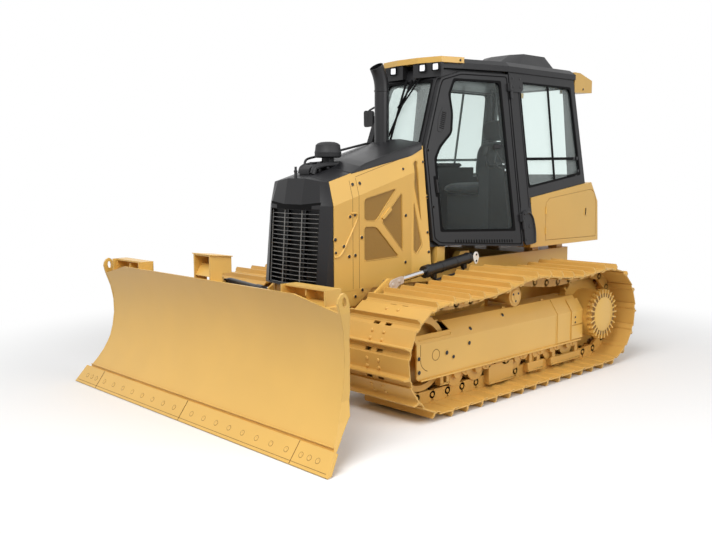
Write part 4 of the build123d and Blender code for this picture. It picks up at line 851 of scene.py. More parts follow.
class Finishes:
    """Every finish of the machine, made once."""

    def __init__(self) -> None:
        """Make them in a fixed order."""
        self.yellow = Paint("yellow paint", (221, 176, 88), drift=0.025, rounding=5.0).make()
        self.track = Paint("track paint", (214, 168, 86), roughness=0.46, coat=0.15, drift=0.05,
                           rounding=4.0).make()
        # a darker copy of the yellow paint: painted shade for the links, roller guards and running gear under
        # the machine
        self.shade = Paint("running gear paint", (205, 160, 80), roughness=0.5, coat=0.1).make()
        self.charcoal = Paint("charcoal paint", (30, 30, 32), coat=0.06, rounding=4.0, shine=0.3).make()
        self.steel = Paint("black steel", (26, 26, 28), roughness=0.36, coat=0.12, drift=0.1,
                           shine=0.35).make()
        self.black = Moulded("black moulding", (27, 27, 29)).make()
        self.rubber = Paint("rubber seal", (9, 9, 10), roughness=0.75, coat=0.0, drift=0.05,
                            shine=0.12).make()
        # grey for the louvres' edges: painted highlight
        self.grey = Paint("grey metal", (128, 128, 126), roughness=0.45, coat=0.1).make()
        self.engine = Paint("engine iron", (58, 58, 60), roughness=0.6, coat=0.0, drift=0.15).make()
        self.chrome = Chrome().make()
        self.glass = Glass("cab glass", (250, 254, 253)).make()
        self.mesh = Perforated().make()
        self.fabric = Fabric().make()
        self.bare = Paint("bare steel", (196, 184, 174), roughness=0.4, coat=0.1).make()
        self.pale = Paint("pale plate", (226, 226, 222), roughness=0.4, coat=0.2).make()
        self.lens = Lens().make()
        # dark brown for thin lines and rings: painted shade standing in for the shadow in seams, gaps and
        # grooves
        self.seam = Paint("seam shade", (128, 92, 42), roughness=0.7, coat=0.0).make()
        # its holes are near black: painted shade
        self.mesh_black = Perforated("radiator mesh", (26, 26, 28), (10, 10, 10), 0.006).make()


def dress_solids(finishes: Finishes) -> None:
    """Give every node of the solid model the finish that goes with its slot in the record."""
    wears = {Slot.YELLOW: finishes.yellow, Slot.TRACK: finishes.track, Slot.GEAR: finishes.shade,
             Slot.MESH: finishes.mesh, Slot.DARK: finishes.charcoal, Slot.BLACK: finishes.black,
             Slot.STEEL: finishes.steel, Slot.ENGINE: finishes.engine, Slot.CHROME: finishes.chrome,
             Slot.GLASS: finishes.glass, Slot.FABRIC: finishes.fabric}
    slots = {part["node"]: Slot(part["material_slot"]) for part in frame["record"]["subparts"]}
    for name, solid in frame["nodes"].items():
        material = wears[slots[name]]
        for place in range(len(solid.material_slots)):
            solid.material_slots[place].link = "OBJECT"
            solid.material_slots[place].material = material


# ---- tracks
@dataclass
class Tracks:
    """Both chains: shoes with grousers, bolts and lips, and links with rails, bushings and pins."""

    sprocket_z: float = 426.11
    sprocket_radius: float = 325.11
    idler: tuple[float, float] = (2088.0, 398.0)
    idler_radius: float = 297.0
    carrier: tuple[float, float] = (1052.0, 779.0)
    ground_z: float = 101.0
    sag: float = 37.0
    count: int = 39
    middle_y: float = 885.0
    shoe_width: float = 635.0
    rail_y: float = 91.0
    rail_half: float = 12.0
    slot_y: float = 52.0
    slot_half: float = 27.0
    bolt_x: tuple[float, float] = (74.0, 126.0)
    bolt_y: float = 52.0
    cut_from: float = 84.0
    cut_slope: float = 0.8

    def path(self) -> np.ndarray:
        """The pins' path: arcs round sprocket and idler, a straight run on the ground, and two upper runs.

        Each upper run hangs below its chord by sag * sin(pi * share) ** 2.

        Returns:
            Points in order from the sprocket's top rearwards round the loop, shape (n, 2).
        """
        turn = np.radians(np.linspace(90, 270, 61))
        rear = np.stack([self.sprocket_radius * np.cos(turn),
                         self.sprocket_z + self.sprocket_radius * np.sin(turn)], axis=1)
        front = np.array(self.idler) - self.idler_radius * np.stack([np.cos(turn), np.sin(turn)], axis=1)
        share = np.arange(1, 41)[:, None] / 40
        stops = np.array([(self.idler[0], self.idler[1] + self.idler_radius), self.carrier,
                          (0, self.sprocket_z + self.sprocket_radius)])
        runs = [a + (b - a) * share - np.array([0, self.sag]) * np.sin(np.pi * share) ** 2
                for a, b in zip(stops[:-1], stops[1:])]
        return np.concatenate([rear, [(self.idler[0] / 2, self.ground_z)], front, *runs])

    def pins(self) -> np.ndarray:
        """Pin centres: the path read at equal steps of its own length.

        Returns:
            (x, z) of each, shape (count, 2).
        """
        path = self.path()
        walked = np.concatenate([[0], np.cumsum(np.linalg.norm(np.diff(path, axis=0), axis=1))])
        wanted = walked[-1] * np.arange(self.count) / self.count
        return np.stack([np.interp(wanted, walked, path[:, way]) for way in (0, 1)], axis=1)

    def shoe(self) -> Skin:
        """One shoe in its own axes: X ahead along the chain from its first pin, Y across, Z outwards.

        The plate runs ahead over the next shoe's lip. The lip dips under the shoe before it and has two
        slots.

        Returns:
            A new skin.
        """
        half = self.shoe_width / 2
        slot_in, slot_out = self.slot_y - self.slot_half, self.slot_y + self.slot_half
        lip = [(-22, 42.5), (-20, 47.5), (14, 49), (24, 58), (30, 60), (30, 50.5), (18, 41.5), (-19, 40)]
        plate = [(29, 60), (166, 60), (170, 57), (170, 52), (29, 50.5)]
        nose = [(-22, 42.5), (-20, 47.5), (-7, 48), (-7, 40.4), (-19, 40)]
        root = [(16, 50.8), (24, 58), (30, 60), (30, 50.5), (18, 41.5), (16, 41.3)]
        bar = [(24.5, 59), (33, 66), (34.5, 82), (35.5, 99.5), (38, 101), (44, 101), (46.5, 99.5), (47.5, 82),
               (49, 66), (57.5, 59)]
        made = Skin()
        for low, high in ((-half, -slot_out), (-slot_in, slot_in), (slot_out, half)):
            made.plate_y(lip, low, high)
        for low, high in ((-slot_out, -slot_in), (slot_in, slot_out)):
            made.plate_y(nose, low, high).plate_y(root, low, high)
        made.plate_y(plate, -half, half)
        made.grid(self.grouser(np.array(bar, float), half))
        for x in self.bolt_x:
            for y in (-self.bolt_y, self.bolt_y):
                made.lathe([(13, 0), (13, 3.5), (10.5, 7.5), (5, 10)], (x, y, 59.5), UPWARDS, 8)
        return made

    def grouser(self, section: np.ndarray, half: float) -> np.ndarray:
        """The tall bar across the shoe: its section at both ends, which draw in as they rise.

        Args:
            section: (x, z) corners.
            half: half the shoe's width.

        Returns:
            points[end, corner, 3], each drawn in by the cut's slope times what rises over its foot.
        """
        drawn = half - self.cut_slope * np.maximum(section[:, 1] - self.cut_from, 0)
        return np.stack([np.stack([section[:, 0], way * drawn, section[:, 1]], axis=1) for way in (-1, 1)])

    def link(self) -> Skin:
        """The two rails of one link, and the bushing and pin at its first end.

        Returns:
            A new skin.
        """
        made = Skin()
        rail = [(-21, 18), (-30, 4), (-27, -18), (-14, -27), (8, -30), (30, -34.6), (126, -34.6), (150, -28),
                (170, -24), (183, -10), (186, 8), (172, 22), (146, 34), (138, 50), (18, 50), (6, 34)]
        for side in Side:
            middle = side.value * self.rail_y
            made.plate_y(rail, middle - self.rail_half, middle + self.rail_half)
        made.lathe([(22, -66), (24, -62), (24, 62), (22, 66)], (0, 0, 0), ACROSS, 12)
        made.lathe([(13, -106), (15, -104), (15, 104), (13, 106)], (0, 0, 0), ACROSS, 8)
        return made

    def build(self, finishes: Finishes) -> None:
        """Lay the shoes and links along both chains, in place of their plain solids."""
        pins = self.pins()
        ahead = unit(np.roll(pins, -1, axis=0) - pins)
        zero, one = np.zeros(self.count), np.ones(self.count)
        forward = np.stack([ahead[:, 0], zero, ahead[:, 1]], axis=1)
        outward = np.stack([ahead[:, 1], zero, -ahead[:, 0]], axis=1)
        turns = np.stack([forward, np.stack([zero, one, zero], axis=1), outward], axis=2)
        for side in Side:
            origins = np.stack([pins[:, 0], side.value * self.middle_y * one, pins[:, 1]], axis=1)
            shoes = self.shoe().placed(origins, turns)
            shoes.piece(f"shoes_{side.label}", "chassis", [finishes.track], Slot.TRACK,
                        replaces=(f"track_chain_{side.label}",))
            links = self.link().placed(origins, turns)
            # the links wear the darker yellow, painted shade
            links.piece(f"links_{side.label}", "chassis", [finishes.shade], Slot.GEAR)


# ---- undercarriage
@dataclass
class Undercarriage:
    """What is fixed to the track frames: cover plates, lips, lines, plugs, roller guards and hub covers."""

    face_y: float = 1040.0
    bend_z: float = 478.0
    top_y: float = 963.0
    top_z: float = 592.0
    low_z: float = 240.0
    front_x: float = 2186.0
    rear_x: float = 214.0
    hub_z: float = 426.11
    hub_face: float = 1123.0
    hub_bars: int = 26
    bracket_x: tuple[float, float] = (190.0, 352.0)
    bracket_thick: float = 9.0
    roller_x: float = 300.0
    roller_step: float = 226.0
    rollers: int = 7
    carrier: tuple[float, float] = (1052.0, 674.5)
    carrier_face: float = 997.5

    def slope_y(self, z: float) -> float:
        """Y of the guard's face at a height: upright below the bend, leaning in above it."""
        share = min(max((z - self.bend_z) / (self.top_z - self.bend_z), 0), 1)
        return self.face_y + (self.top_y - self.face_y) * share

    def lean(self) -> np.ndarray:
        """The outward normal of the guard's leaning face: (0, rise, run) over its length."""
        return unit(np.array([0, self.top_z - self.bend_z, self.face_y - self.top_y]))

    def cover(self, x_low: float, x_high: float, z_low: float, z_high: float, thick: float) -> Skin:
        """A plate that follows the guard's bent face between two heights, carried along X.

        Args:
            x_low: its rear end.
            x_high: its front end.
            z_low: its lower edge.
            z_high: its upper edge.
            thick: how far it stands out.

        Returns:
            A new skin.
        """
        _, out_y, out_z = self.lean()
        inner = [(self.face_y - 1, z_low)]
        outer = [(self.face_y + thick, z_low)]
        if z_high > self.bend_z:
            inner += [(self.face_y - 1, self.bend_z), (self.slope_y(z_high) - 1, z_high)]
            outer += [(self.face_y + thick, self.bend_z + 0.3 * thick),
                      (self.slope_y(z_high) + thick * out_y, z_high + thick * out_z)]
        else:
            inner, outer = inner + [(self.face_y - 1, z_high)], outer + [(self.face_y + thick, z_high)]
        line = np.array(outer + inner[::-1], float)
        return Skin().prism(facing(line, x_low), (x_high - x_low, 0, 0))

    def frame_covers(self, finishes: Finishes) -> None:
        """The rear cover and bracket, the lower lip, the front's lines in painted shade and its fold, and the
        top's blocks.
        """
        made = self.cover(374, 548, 246, self.top_z - 2, 5)
        made.join(self.cover(*self.bracket_x, 368, self.top_z - 30, self.bracket_thick))
        made.join(self.cover(*self.bracket_x, 250, 362, self.bracket_thick))
        made.plate_y([(self.rear_x + 4, self.low_z - 8), (self.front_x - 30, self.low_z - 8),
                      (self.front_x - 22, self.low_z + 3), (self.rear_x, self.low_z + 3)],
                     self.face_y - 14, self.face_y + 16)
        # the round outline and the front edge's line wear the second finish: dark lines of painted shade
        strip = np.array([(-2.5, -1), (-2.5, 1.2), (2.5, 1.2), (2.5, -1)])
        round_cover = np.array([(1995, self.face_y, 388)]) + ring(37, 32)[:, [0, 0, 1]] * (1, 0, 1)
        made.sweep(strip, round_cover, up=ACROSS, closed=True, finish=1)
        edge = [(x, self.face_y, z) for x, z in ((2148, 476), (2148, 340), (2104, 300), (2080, 292))]
        made.sweep(strip, smooth_path(edge, 40), up=ACROSS, finish=1)
        fold = np.array([(2150, self.slope_y(500), 500), (1830, self.slope_y(500), 500),
                         (1816, self.slope_y(512), 512)])
        made.sweep([(-5, -1), (-4, 4), (3, 5), (6, -1)], fold, up=self.lean())
        made.plate_y([(560, 246), (566, 246), (566, 474), (560, 474)], self.face_y - 1, self.face_y + 2)
        for x in (640, 1140, 1900):
            made.block((x - 22, self.top_y - 20, self.top_z - 4),
                       (x + 22, self.top_y - 4, self.top_z + 12), 4)
        made.both().piece("frame_covers", "chassis", [finishes.yellow, finishes.seam], Slot.YELLOW, bevel=2)

    def plugs(self, finishes: Finishes) -> None:
        """Black plugs in pale washers on the guard, and the bracket's two bolts."""
        made = Skin()
        for x, z, r in ((1885, 386, 15), (1815, 347, 13), (1645, 417, 14), (1608, 510, 14),
                        (1200, 551, 13), (2166, 386, 14), (2164, 294, 14), (305, 430, 9),
                        (305, 388, 9)):
            on_bracket = x < self.bracket_x[1]
            out = self.lean() if z > self.bend_z else ACROSS
            foot = (x, self.slope_y(z) + on_bracket * self.bracket_thick, z)
            made.lathe([(r + 6, -1), (r + 6, 1.6), (r + 4, 2.4)], foot, out, 20)
            made.lathe([(r, 0), (r, 4), (r - 3, 5.5), (4, 5.5)], foot, out, 6 if on_bracket else 20, 1)
        made.both().piece("guard_plugs", "chassis", [finishes.yellow, finishes.steel], Slot.STEEL)

    def roller_guards(self, finishes: Finishes) -> None:
        """Below the frame: the rollers' half-round saddles, three guard boxes, and the front bracket."""
        y = self.face_y
        turn = np.radians(np.linspace(180, 360, 13))
        made = Skin()
        for x in self.roller_x + self.roller_step * np.arange(self.rollers):
            saddle = np.stack([x + 56 * np.cos(turn), self.low_z - 4 + 44 * np.sin(turn)], axis=1)
            made.plate_y(saddle, y - 66, y - 8)
            made.lathe([(17, 0), (17, 4), (10, 7)], (x, y - 8, self.low_z - 22), ACROSS, 6)
        for x_low, x_high, low, high in ((1112, 1408, 70, 214), (722, 926, 80, 152), (190, 616, 80, 142)):
            made.plate_y(rounded([(x_low, high), (x_low + 6, low), (x_high - 6, low), (x_high, high)], 8, 3),
                         y - 22, y - 8)
            made.block((x_low + 3, y - 60, low), (x_high - 3, y - 2, low + 14), 3)
            for x in (x_low + 4, (x_low + x_high) / 2, x_high - 16):
                made.block((x, y - 60, low + 8), (x + 12, y - 20, high - 4), 3)
            for x in (x_low + 30, x_high - 74):
                made.block((x, y - 56, high - 8), (x + 44, y - 14, self.low_z), 3)
        for x in (1838, 1902):
            made.block((x, y - 60, 168), (x + 36, y - 8, self.low_z), 3)
        made.block((1838, y - 60, 160), (1938, y - 8, 178), 3)
        # the guards wear the darker yellow, painted shade
        made.both().piece("roller_guards", "chassis", [finishes.shade], Slot.GEAR, bevel=1.5)

    def hubs(self, finishes: Finishes) -> None:
        """The final drive's cover, a crowned disc in a ring of bars, and the carrier roller's cap."""
        made = Skin()
        face = self.hub_face
        hub = (0, face, self.hub_z)
        made.lathe([(140, -2), (140, 5), (132, 9), (70, 12), (2, 12.5)], hub, ACROSS, 52)
        # a dark ring at the bars' foot round the disc: painted shade between the bars
        made.lathe([(172.5, -1), (172.5, 0.8), (139, 0.8), (139, -1)], hub, ACROSS, 52, 1)
        bar = np.array([(136, -5), (196, -6.5), (204, -5), (205.5, 0), (204, 5), (196, 6.5), (136, 5)])
        for a in 2 * np.pi * np.arange(self.hub_bars) / self.hub_bars:
            turn = np.array([(math.cos(a), math.sin(a)), (-math.sin(a), math.cos(a))])
            made.plate_y(bar @ turn + (0, self.hub_z), face - 30, face + 5)
        x, z = self.carrier
        made.lathe([(52, -2), (52, 3), (48, 6), (24, 6), (22, 9)], (x, self.carrier_face, z), ACROSS, 32)
        made.both().piece("hub_covers", "chassis", [finishes.yellow, finishes.seam], Slot.YELLOW)
        dark = Skin()
        for a in np.radians([30, 150, 270]):
            dark.lathe([(9, 0), (9, 7.2), (6, 8)],
                       (x + 36 * math.cos(a), self.carrier_face, z + 36 * math.sin(a)), ACROSS, 12)
        dark.both().piece("carrier_bolts", "chassis", [finishes.steel], Slot.STEEL)

    def build(self, finishes: Finishes) -> None:
        """All of it."""
        self.frame_covers(finishes)
        self.plugs(finishes)
        self.roller_guards(finishes)
        self.hubs(finishes)


# ---- hood
@dataclass
class Hood:
    """What is on the hood: window rims and screens, seams and window lines drawn in painted shade, plugs,
    bead, latch, cowl and top fittings.
    """

    front_x: float = 2272.0
    crease_x: float = 1480.0
    rear_x: float = 1332.0
    top_z: float = 1534.0
    slope: float = 0.2765
    bevel: float = 168.0
    half: float = 345.0
    half_top: float = 296.0
    flare_foot: tuple[float, float] = (427.8, 760.3)
    flare_in: float = 105.3
    flare_rise: float = 1033.6
    windows: tuple = (((1977, 1407), (1645, 1477), (1857, 1249), (1974, 1254)),
                      ((1587, 1446), (1577, 1007), (1801, 1240)),
                      ((1979, 1209), (1857, 1203), (1620, 970), (1976, 961)),
                      ((1458, 1370), (1395, 1045), (1440, 975), (1462, 1000)),
                      ((1440, 1672), (1405, 1684), (1395, 1230), (1450, 1506)))
    corner: float = 24.0
    plugs: tuple = ((2070, 1513, 12), (2003, 1520, 12), (2120, 1288, 11), (2073, 1298, 11), (2262, 1134, 13),
                    (2258, 1043, 10), (2181, 1082, 12), (2130, 1007, 12), (2071, 1011, 12), (2006, 1135, 12),
                    (1546, 1273, 12), (1549, 921, 12), (1345, 1672, 10), (1328, 1406, 10), (1345, 1137, 10),
                    (1559, 1619, 10), (1345, 988, 10), (2003, 757, 11), (2073, 716, 11))

    def edge_z(self, x: np.ndarray | float) -> np.ndarray | float:
        """Height of the side's upper edge: it rises rearwards by the slope."""
        return self.top_z + self.slope * (self.front_x - x)

    def face_y(self, x: np.ndarray, z: np.ndarray) -> np.ndarray:
        """Y of the side's face.

        It is half, less the bevel's lean near the top. Behind the crease it blends into a straight line from
        the cab's flare at the foot to its edge at the top.

        Args:
            x: places along the machine.
            z: heights, one for each.

        Returns:
            Y, one for each.
        """
        top = self.edge_z(x)
        flat = self.half - (self.half - self.half_top) * np.clip((z - top + self.bevel) / self.bevel, 0, 1)
        foot_y, foot_z = self.flare_foot
        flare = foot_y - self.flare_in * np.clip((z - foot_z) / self.flare_rise, 0, 1)
        share = np.clip((self.crease_x - x) / (self.crease_x - self.rear_x), 0, 1)
        return flat * (1 - share) + flare * share

    def on_face(self, outline: np.ndarray | list, out: float = 0) -> np.ndarray:
        """An (x, z) outline laid on the side's face, so far outside it."""
        flat = np.asarray(outline, float)
        return np.stack([flat[:, 0], self.face_y(flat[:, 0], flat[:, 1]) + out, flat[:, 1]], axis=1)

    def openings(self) -> Iterator[tuple[np.ndarray, float]]:
        """Each window in turn.

        Yields:
            Its corners, and how far they are rounded: a quarter of its lesser side at most.
        """
        for window in self.windows:
            shape = np.array(window, float)
            yield shape, min(self.corner, 0.25 * float(np.min(np.ptp(shape, axis=0))))

    def bead(self, made: Skin, line: list, wide: float, high: float, radius: float = 30) -> None:
        """A low rounded bead along an (x, z) line on the side's face: half an ellipse carried along it.

        Args:
            made: the skin that takes it.
            line: (x, z) corners.
            wide: its width.
            high: its height.
            radius: how far the line's corners are rounded.
        """
        path = smooth_path(self.on_face(line), radius)
        turn = np.linspace(0, np.pi, 6)
        arch = np.stack([wide / 2 * np.cos(turn), high * np.sin(turn)], axis=1)
        profile = np.concatenate([arch, [(-wide / 2, -2), (wide / 2, -2)]])
        made.sweep(profile * (-1, 1), path, up=ACROSS)

    def panels(self, finishes: Finishes) -> None:
        """Rims with rounded corners and screens in the windows, the skirt, the pressed bead and the latch."""
        made, screens = Skin(), Skin()
        for shape, corner in self.openings():
            outer = self.on_face(rounded(offset(shape, 3), corner * 0.5, 5), 1.6)
            inner = self.on_face(rounded(offset(shape, -1), corner, 5), 1.6)
            made.frame(outer, inner, (0, -20, 0))
            screens.prism(self.on_face(rounded(offset(shape, 1.5), corner, 5), -5.5), (0, -2, 0))
        skirt = rounded([(2268, 768), (2268, 648), (2072, 646), (1990, 694), (1890, 768)], 14, 4)
        made.plate_y(skirt, 328, 344.5)
        pressed = [(2112, 1310), (2044, 1310), (2050, 1262), (2184, 1050), (2222, 1013), (2271, 1008)]
        self.bead(made, pressed, 15, 8)
        latch = [(1716, 1343), (1697, 1322), (1786, 1252), (1808, 1268)]
        made.prism(self.on_face(rounded(latch, 9, 4), -2), (0, 11, 0))
        made.both().piece("hood_panels", "chassis", [finishes.yellow], Slot.YELLOW, bevel=1.2)
        screens.both().piece("hood_screens", "chassis", [finishes.mesh], Slot.MESH)

    def seams(self, finishes: Finishes) -> None:
        """Dark lines of painted shade: the two upright seams behind the nose, the line under the top's edge,
        and one round each window.
        """
        made = Skin()
        for x in (2092, 2030):
            top = self.edge_z(x)
            seam = [(x, z) for z in (770, 1000, 1200, top - self.bevel, top - 44)]
            self.bead(made, seam, 4, 0.7, 2)
        self.bead(made, [(x, self.edge_z(x) - 36) for x in (2028, 1800, 1545)], 4, 0.7, 2)
        for shape, corner in self.openings():
            outer = self.on_face(rounded(offset(shape, 4.5), corner, 4), 0.2)
            inner = self.on_face(rounded(offset(shape, 2), corner, 4), 0.2)
            made.frame(outer, inner, (0, 0.8, 0))
        made.both().piece("hood_seams", "chassis", [finishes.seam], Slot.YELLOW)

    def fasteners(self, finishes: Finishes) -> None:
        """The black plugs in their washers, each square to the face: its normal is (-dy/dx, 1, -dy/dz)."""
        made, step = Skin(), 4
        for x, z, radius in self.plugs:
            y = self.face_y(np.array([x, x + step, x]), np.array([z, z, z + step]))
            out = unit(np.array([(y[0] - y[1]) / step, 1, (y[0] - y[2]) / step]))
            made.plug((x, float(y[0]), z), out, radius)
        made.both().piece("hood_plugs", "chassis", [finishes.yellow, finishes.steel], Slot.STEEL)

    def cowl(self, finishes: Finishes) -> None:
        """The black cowl over the hood's rear: rings from side to side that grow from a slanted front."""
        x = np.array([2064, 2020, 1960, 1908, 1880, 1700, 1480, 1440, 1400, 1342])
        edge = self.edge_z(x)
        low = np.interp(x, [1342, 1455, 2064], [1768, 1714, 1586])
        y_low = self.face_y(x, low) + 2.5
        y_edge = np.where(x < self.crease_x, self.face_y(x, edge), self.half_top) + 1
        rise = 3 + 22 * np.clip((x[0] - x) / 156, 0, 1)
        half = np.stack([np.stack([x, y_low - 14, low], axis=1), np.stack([x, y_low, low], axis=1),
                         np.stack([x, y_edge + 1.5, edge + rise * 0.4], axis=1),
                         np.stack([x, y_edge - 12, edge + rise + 3], axis=1),
                         np.stack([x, np.full(len(x), 100), edge + 36 + rise], axis=1)], axis=1)
        rings = np.concatenate([half, (half * (1, -1, 1))[:, ::-1]], axis=1)
        Skin().grid(rings).piece("hood_cowl", "chassis", [finishes.steel], Slot.STEEL, bevel=3)

    def top_fittings(self, finishes: Finishes) -> None:
        """Handrail, front post, and the hoses, clamps and bracket round the pre-cleaner's stalk.

        Each rail and hose is a circle carried along a path whose corners are rounded.
        """
        made = Skin()
        rail = [(x, -150, z) for x, z in ((2113, 1585), (2113, 1672), (2090, 1697), (1759, 1762),
                                          (1451, 1823), (1372, 1808), (1352, 1740))]
        made.pipe(smooth_path(rail, 34), 9, 12, up=ACROSS)
        made.lathe([(11, 1556), (11, 1600), (14, 1603), (14, 1612), (9, 1616),
                    (9, 1640)], (2306, -20, 0), UPWARDS, 14)
        bracket = [(2236, 1580), (2236, 1622), (2190, 1652), (1886, 1664), (1880, 1650), (1940, 1620)]
        made.plate_y(rounded(bracket, 8, 3), -64, 40)
        made.block((1990, -46, 1640), (2040, 46, 1706), 6)
        for y, z in ((-78, 1648), (56, 1644), (78, 1636)):
            hose = [(2222, y, z - 52), (2206, y, z - 6), (2120, y, z + 12), (1950, y, z + 22),
                    (1880, y - 4, z + 2), (1862, y - 4, z - 20)]
            made.pipe(smooth_path(hose, 44), 13, 10, up=ACROSS)
        for x in (2180, 2080, 1950):
            made.block((x, -96, 1622), (x + 26, 96, 1632 + (2180 - x) * 0.05), 3)
        for y in (-42, 42):
            made.lathe([(15, 1604), (15, 1668), (10, 1674)], (2140, y, 0), UPWARDS, 12)
        made.piece("hood_fittings", "chassis", [finishes.black], Slot.BLACK, bevel=1.5)

    def build(self, finishes: Finishes) -> None:
        """All of it."""
        self.panels(finishes)
        self.seams(finishes)
        self.fasteners(finishes)
        self.cowl(finishes)
        self.top_fittings(finishes)


# ---- nose
@dataclass
class Nose:
    """The grille's louvre edges and uprights in grey, a painted highlight, and the black border round its
    opening.
    """

    low_z: float = 804.5
    high_z: float = 1341.5
    louvres: int = 17
    thickness: float = 7.0
    crest: float = 95.0
    half: float = 266.5
    front_x: float = 2384.0
    foot_z: float = 792.0
    lean: float = 0.07143
    swept: float = 26.0
    border_ahead: float = 15.5

    def on_front(self, y: np.ndarray | float, z: np.ndarray | float, ahead: float = 0) -> np.ndarray:
        """Points on the louvres' front: level between the crests, swept back outside them, less the lean.

        Args:
            y: places across, or one.
            z: heights, or one.
            ahead: how far in front.

        Returns:
            points, shape (n, 3).
        """
        y, z = np.broadcast_arrays(np.asarray(y, float), np.asarray(z, float))
        sweep = self.swept * np.clip((np.abs(y) - self.crest) / (self.half - self.crest), 0, None)
        return np.stack([self.front_x + ahead - self.lean * (z - self.foot_z) - sweep, y, z], axis=1)

    def edges(self, finishes: Finishes) -> None:
        """A thin grey strip on every louvre, a painted highlight on its edge, and four thin uprights in the
        same grey.
        """
        made = Skin()
        y = np.array([-self.half, -self.crest, self.crest, self.half])
        # each strip's grey is a painted highlight where light catches the louvre
        for z in np.linspace(self.low_z, self.high_z - self.thickness, self.louvres + 1) + self.thickness / 2:
            made.sweep([(-2, -1.7), (3, -1.4), (3.6, 0), (3, 1.4), (-2, 1.7)], self.on_front(y, z))
        for y_bar in (-self.crest, self.crest, -self.half + 4, self.half - 4):
            made.sweep([(-2.2, -3), (2.2, -3), (2.2, 3), (-2.2, 3)],
                       self.on_front(y_bar, np.array([self.low_z, self.high_z]), 1), up=ACROSS)
        made.piece("louvre_edges", "chassis", [finishes.grey], Slot.ENGINE)

    def border(self, finishes: Finishes) -> None:
        """The black border: a band over the opening that dips in the middle, and a strip down each side."""
        made = Skin()
        y = np.array([-272, -self.crest, self.crest, 272])
        for across, heights in ((y, (self.high_z - 4, np.array([1392, 1374, 1374, 1392]))),
                                (np.array([264, 273]), (798, self.high_z)),
                                (np.array([-264, -273]), (798, self.high_z))):
            made.slab(np.stack([self.on_front(across, z, self.border_ahead) for z in heights]), (-6, 0, 0))
        made.piece("grille_border", "chassis", [finishes.rubber], Slot.BLACK)

    def core(self, finishes: Finishes) -> None:
        """The radiator's dark face behind the louvres."""
        rows = np.array([[(2300, -255, z), (2300, 255, z)] for z in (self.low_z + 2, self.high_z - 2)])
        back = Skin().slab(rows, (-3, 0, 0))
        back.piece("radiator_core", "chassis", [finishes.mesh_black], Slot.BLACK)

    def build(self, finishes: Finishes) -> None:
        """All of it."""
        self.edges(finishes)
        self.border(finishes)
        self.core(finishes)


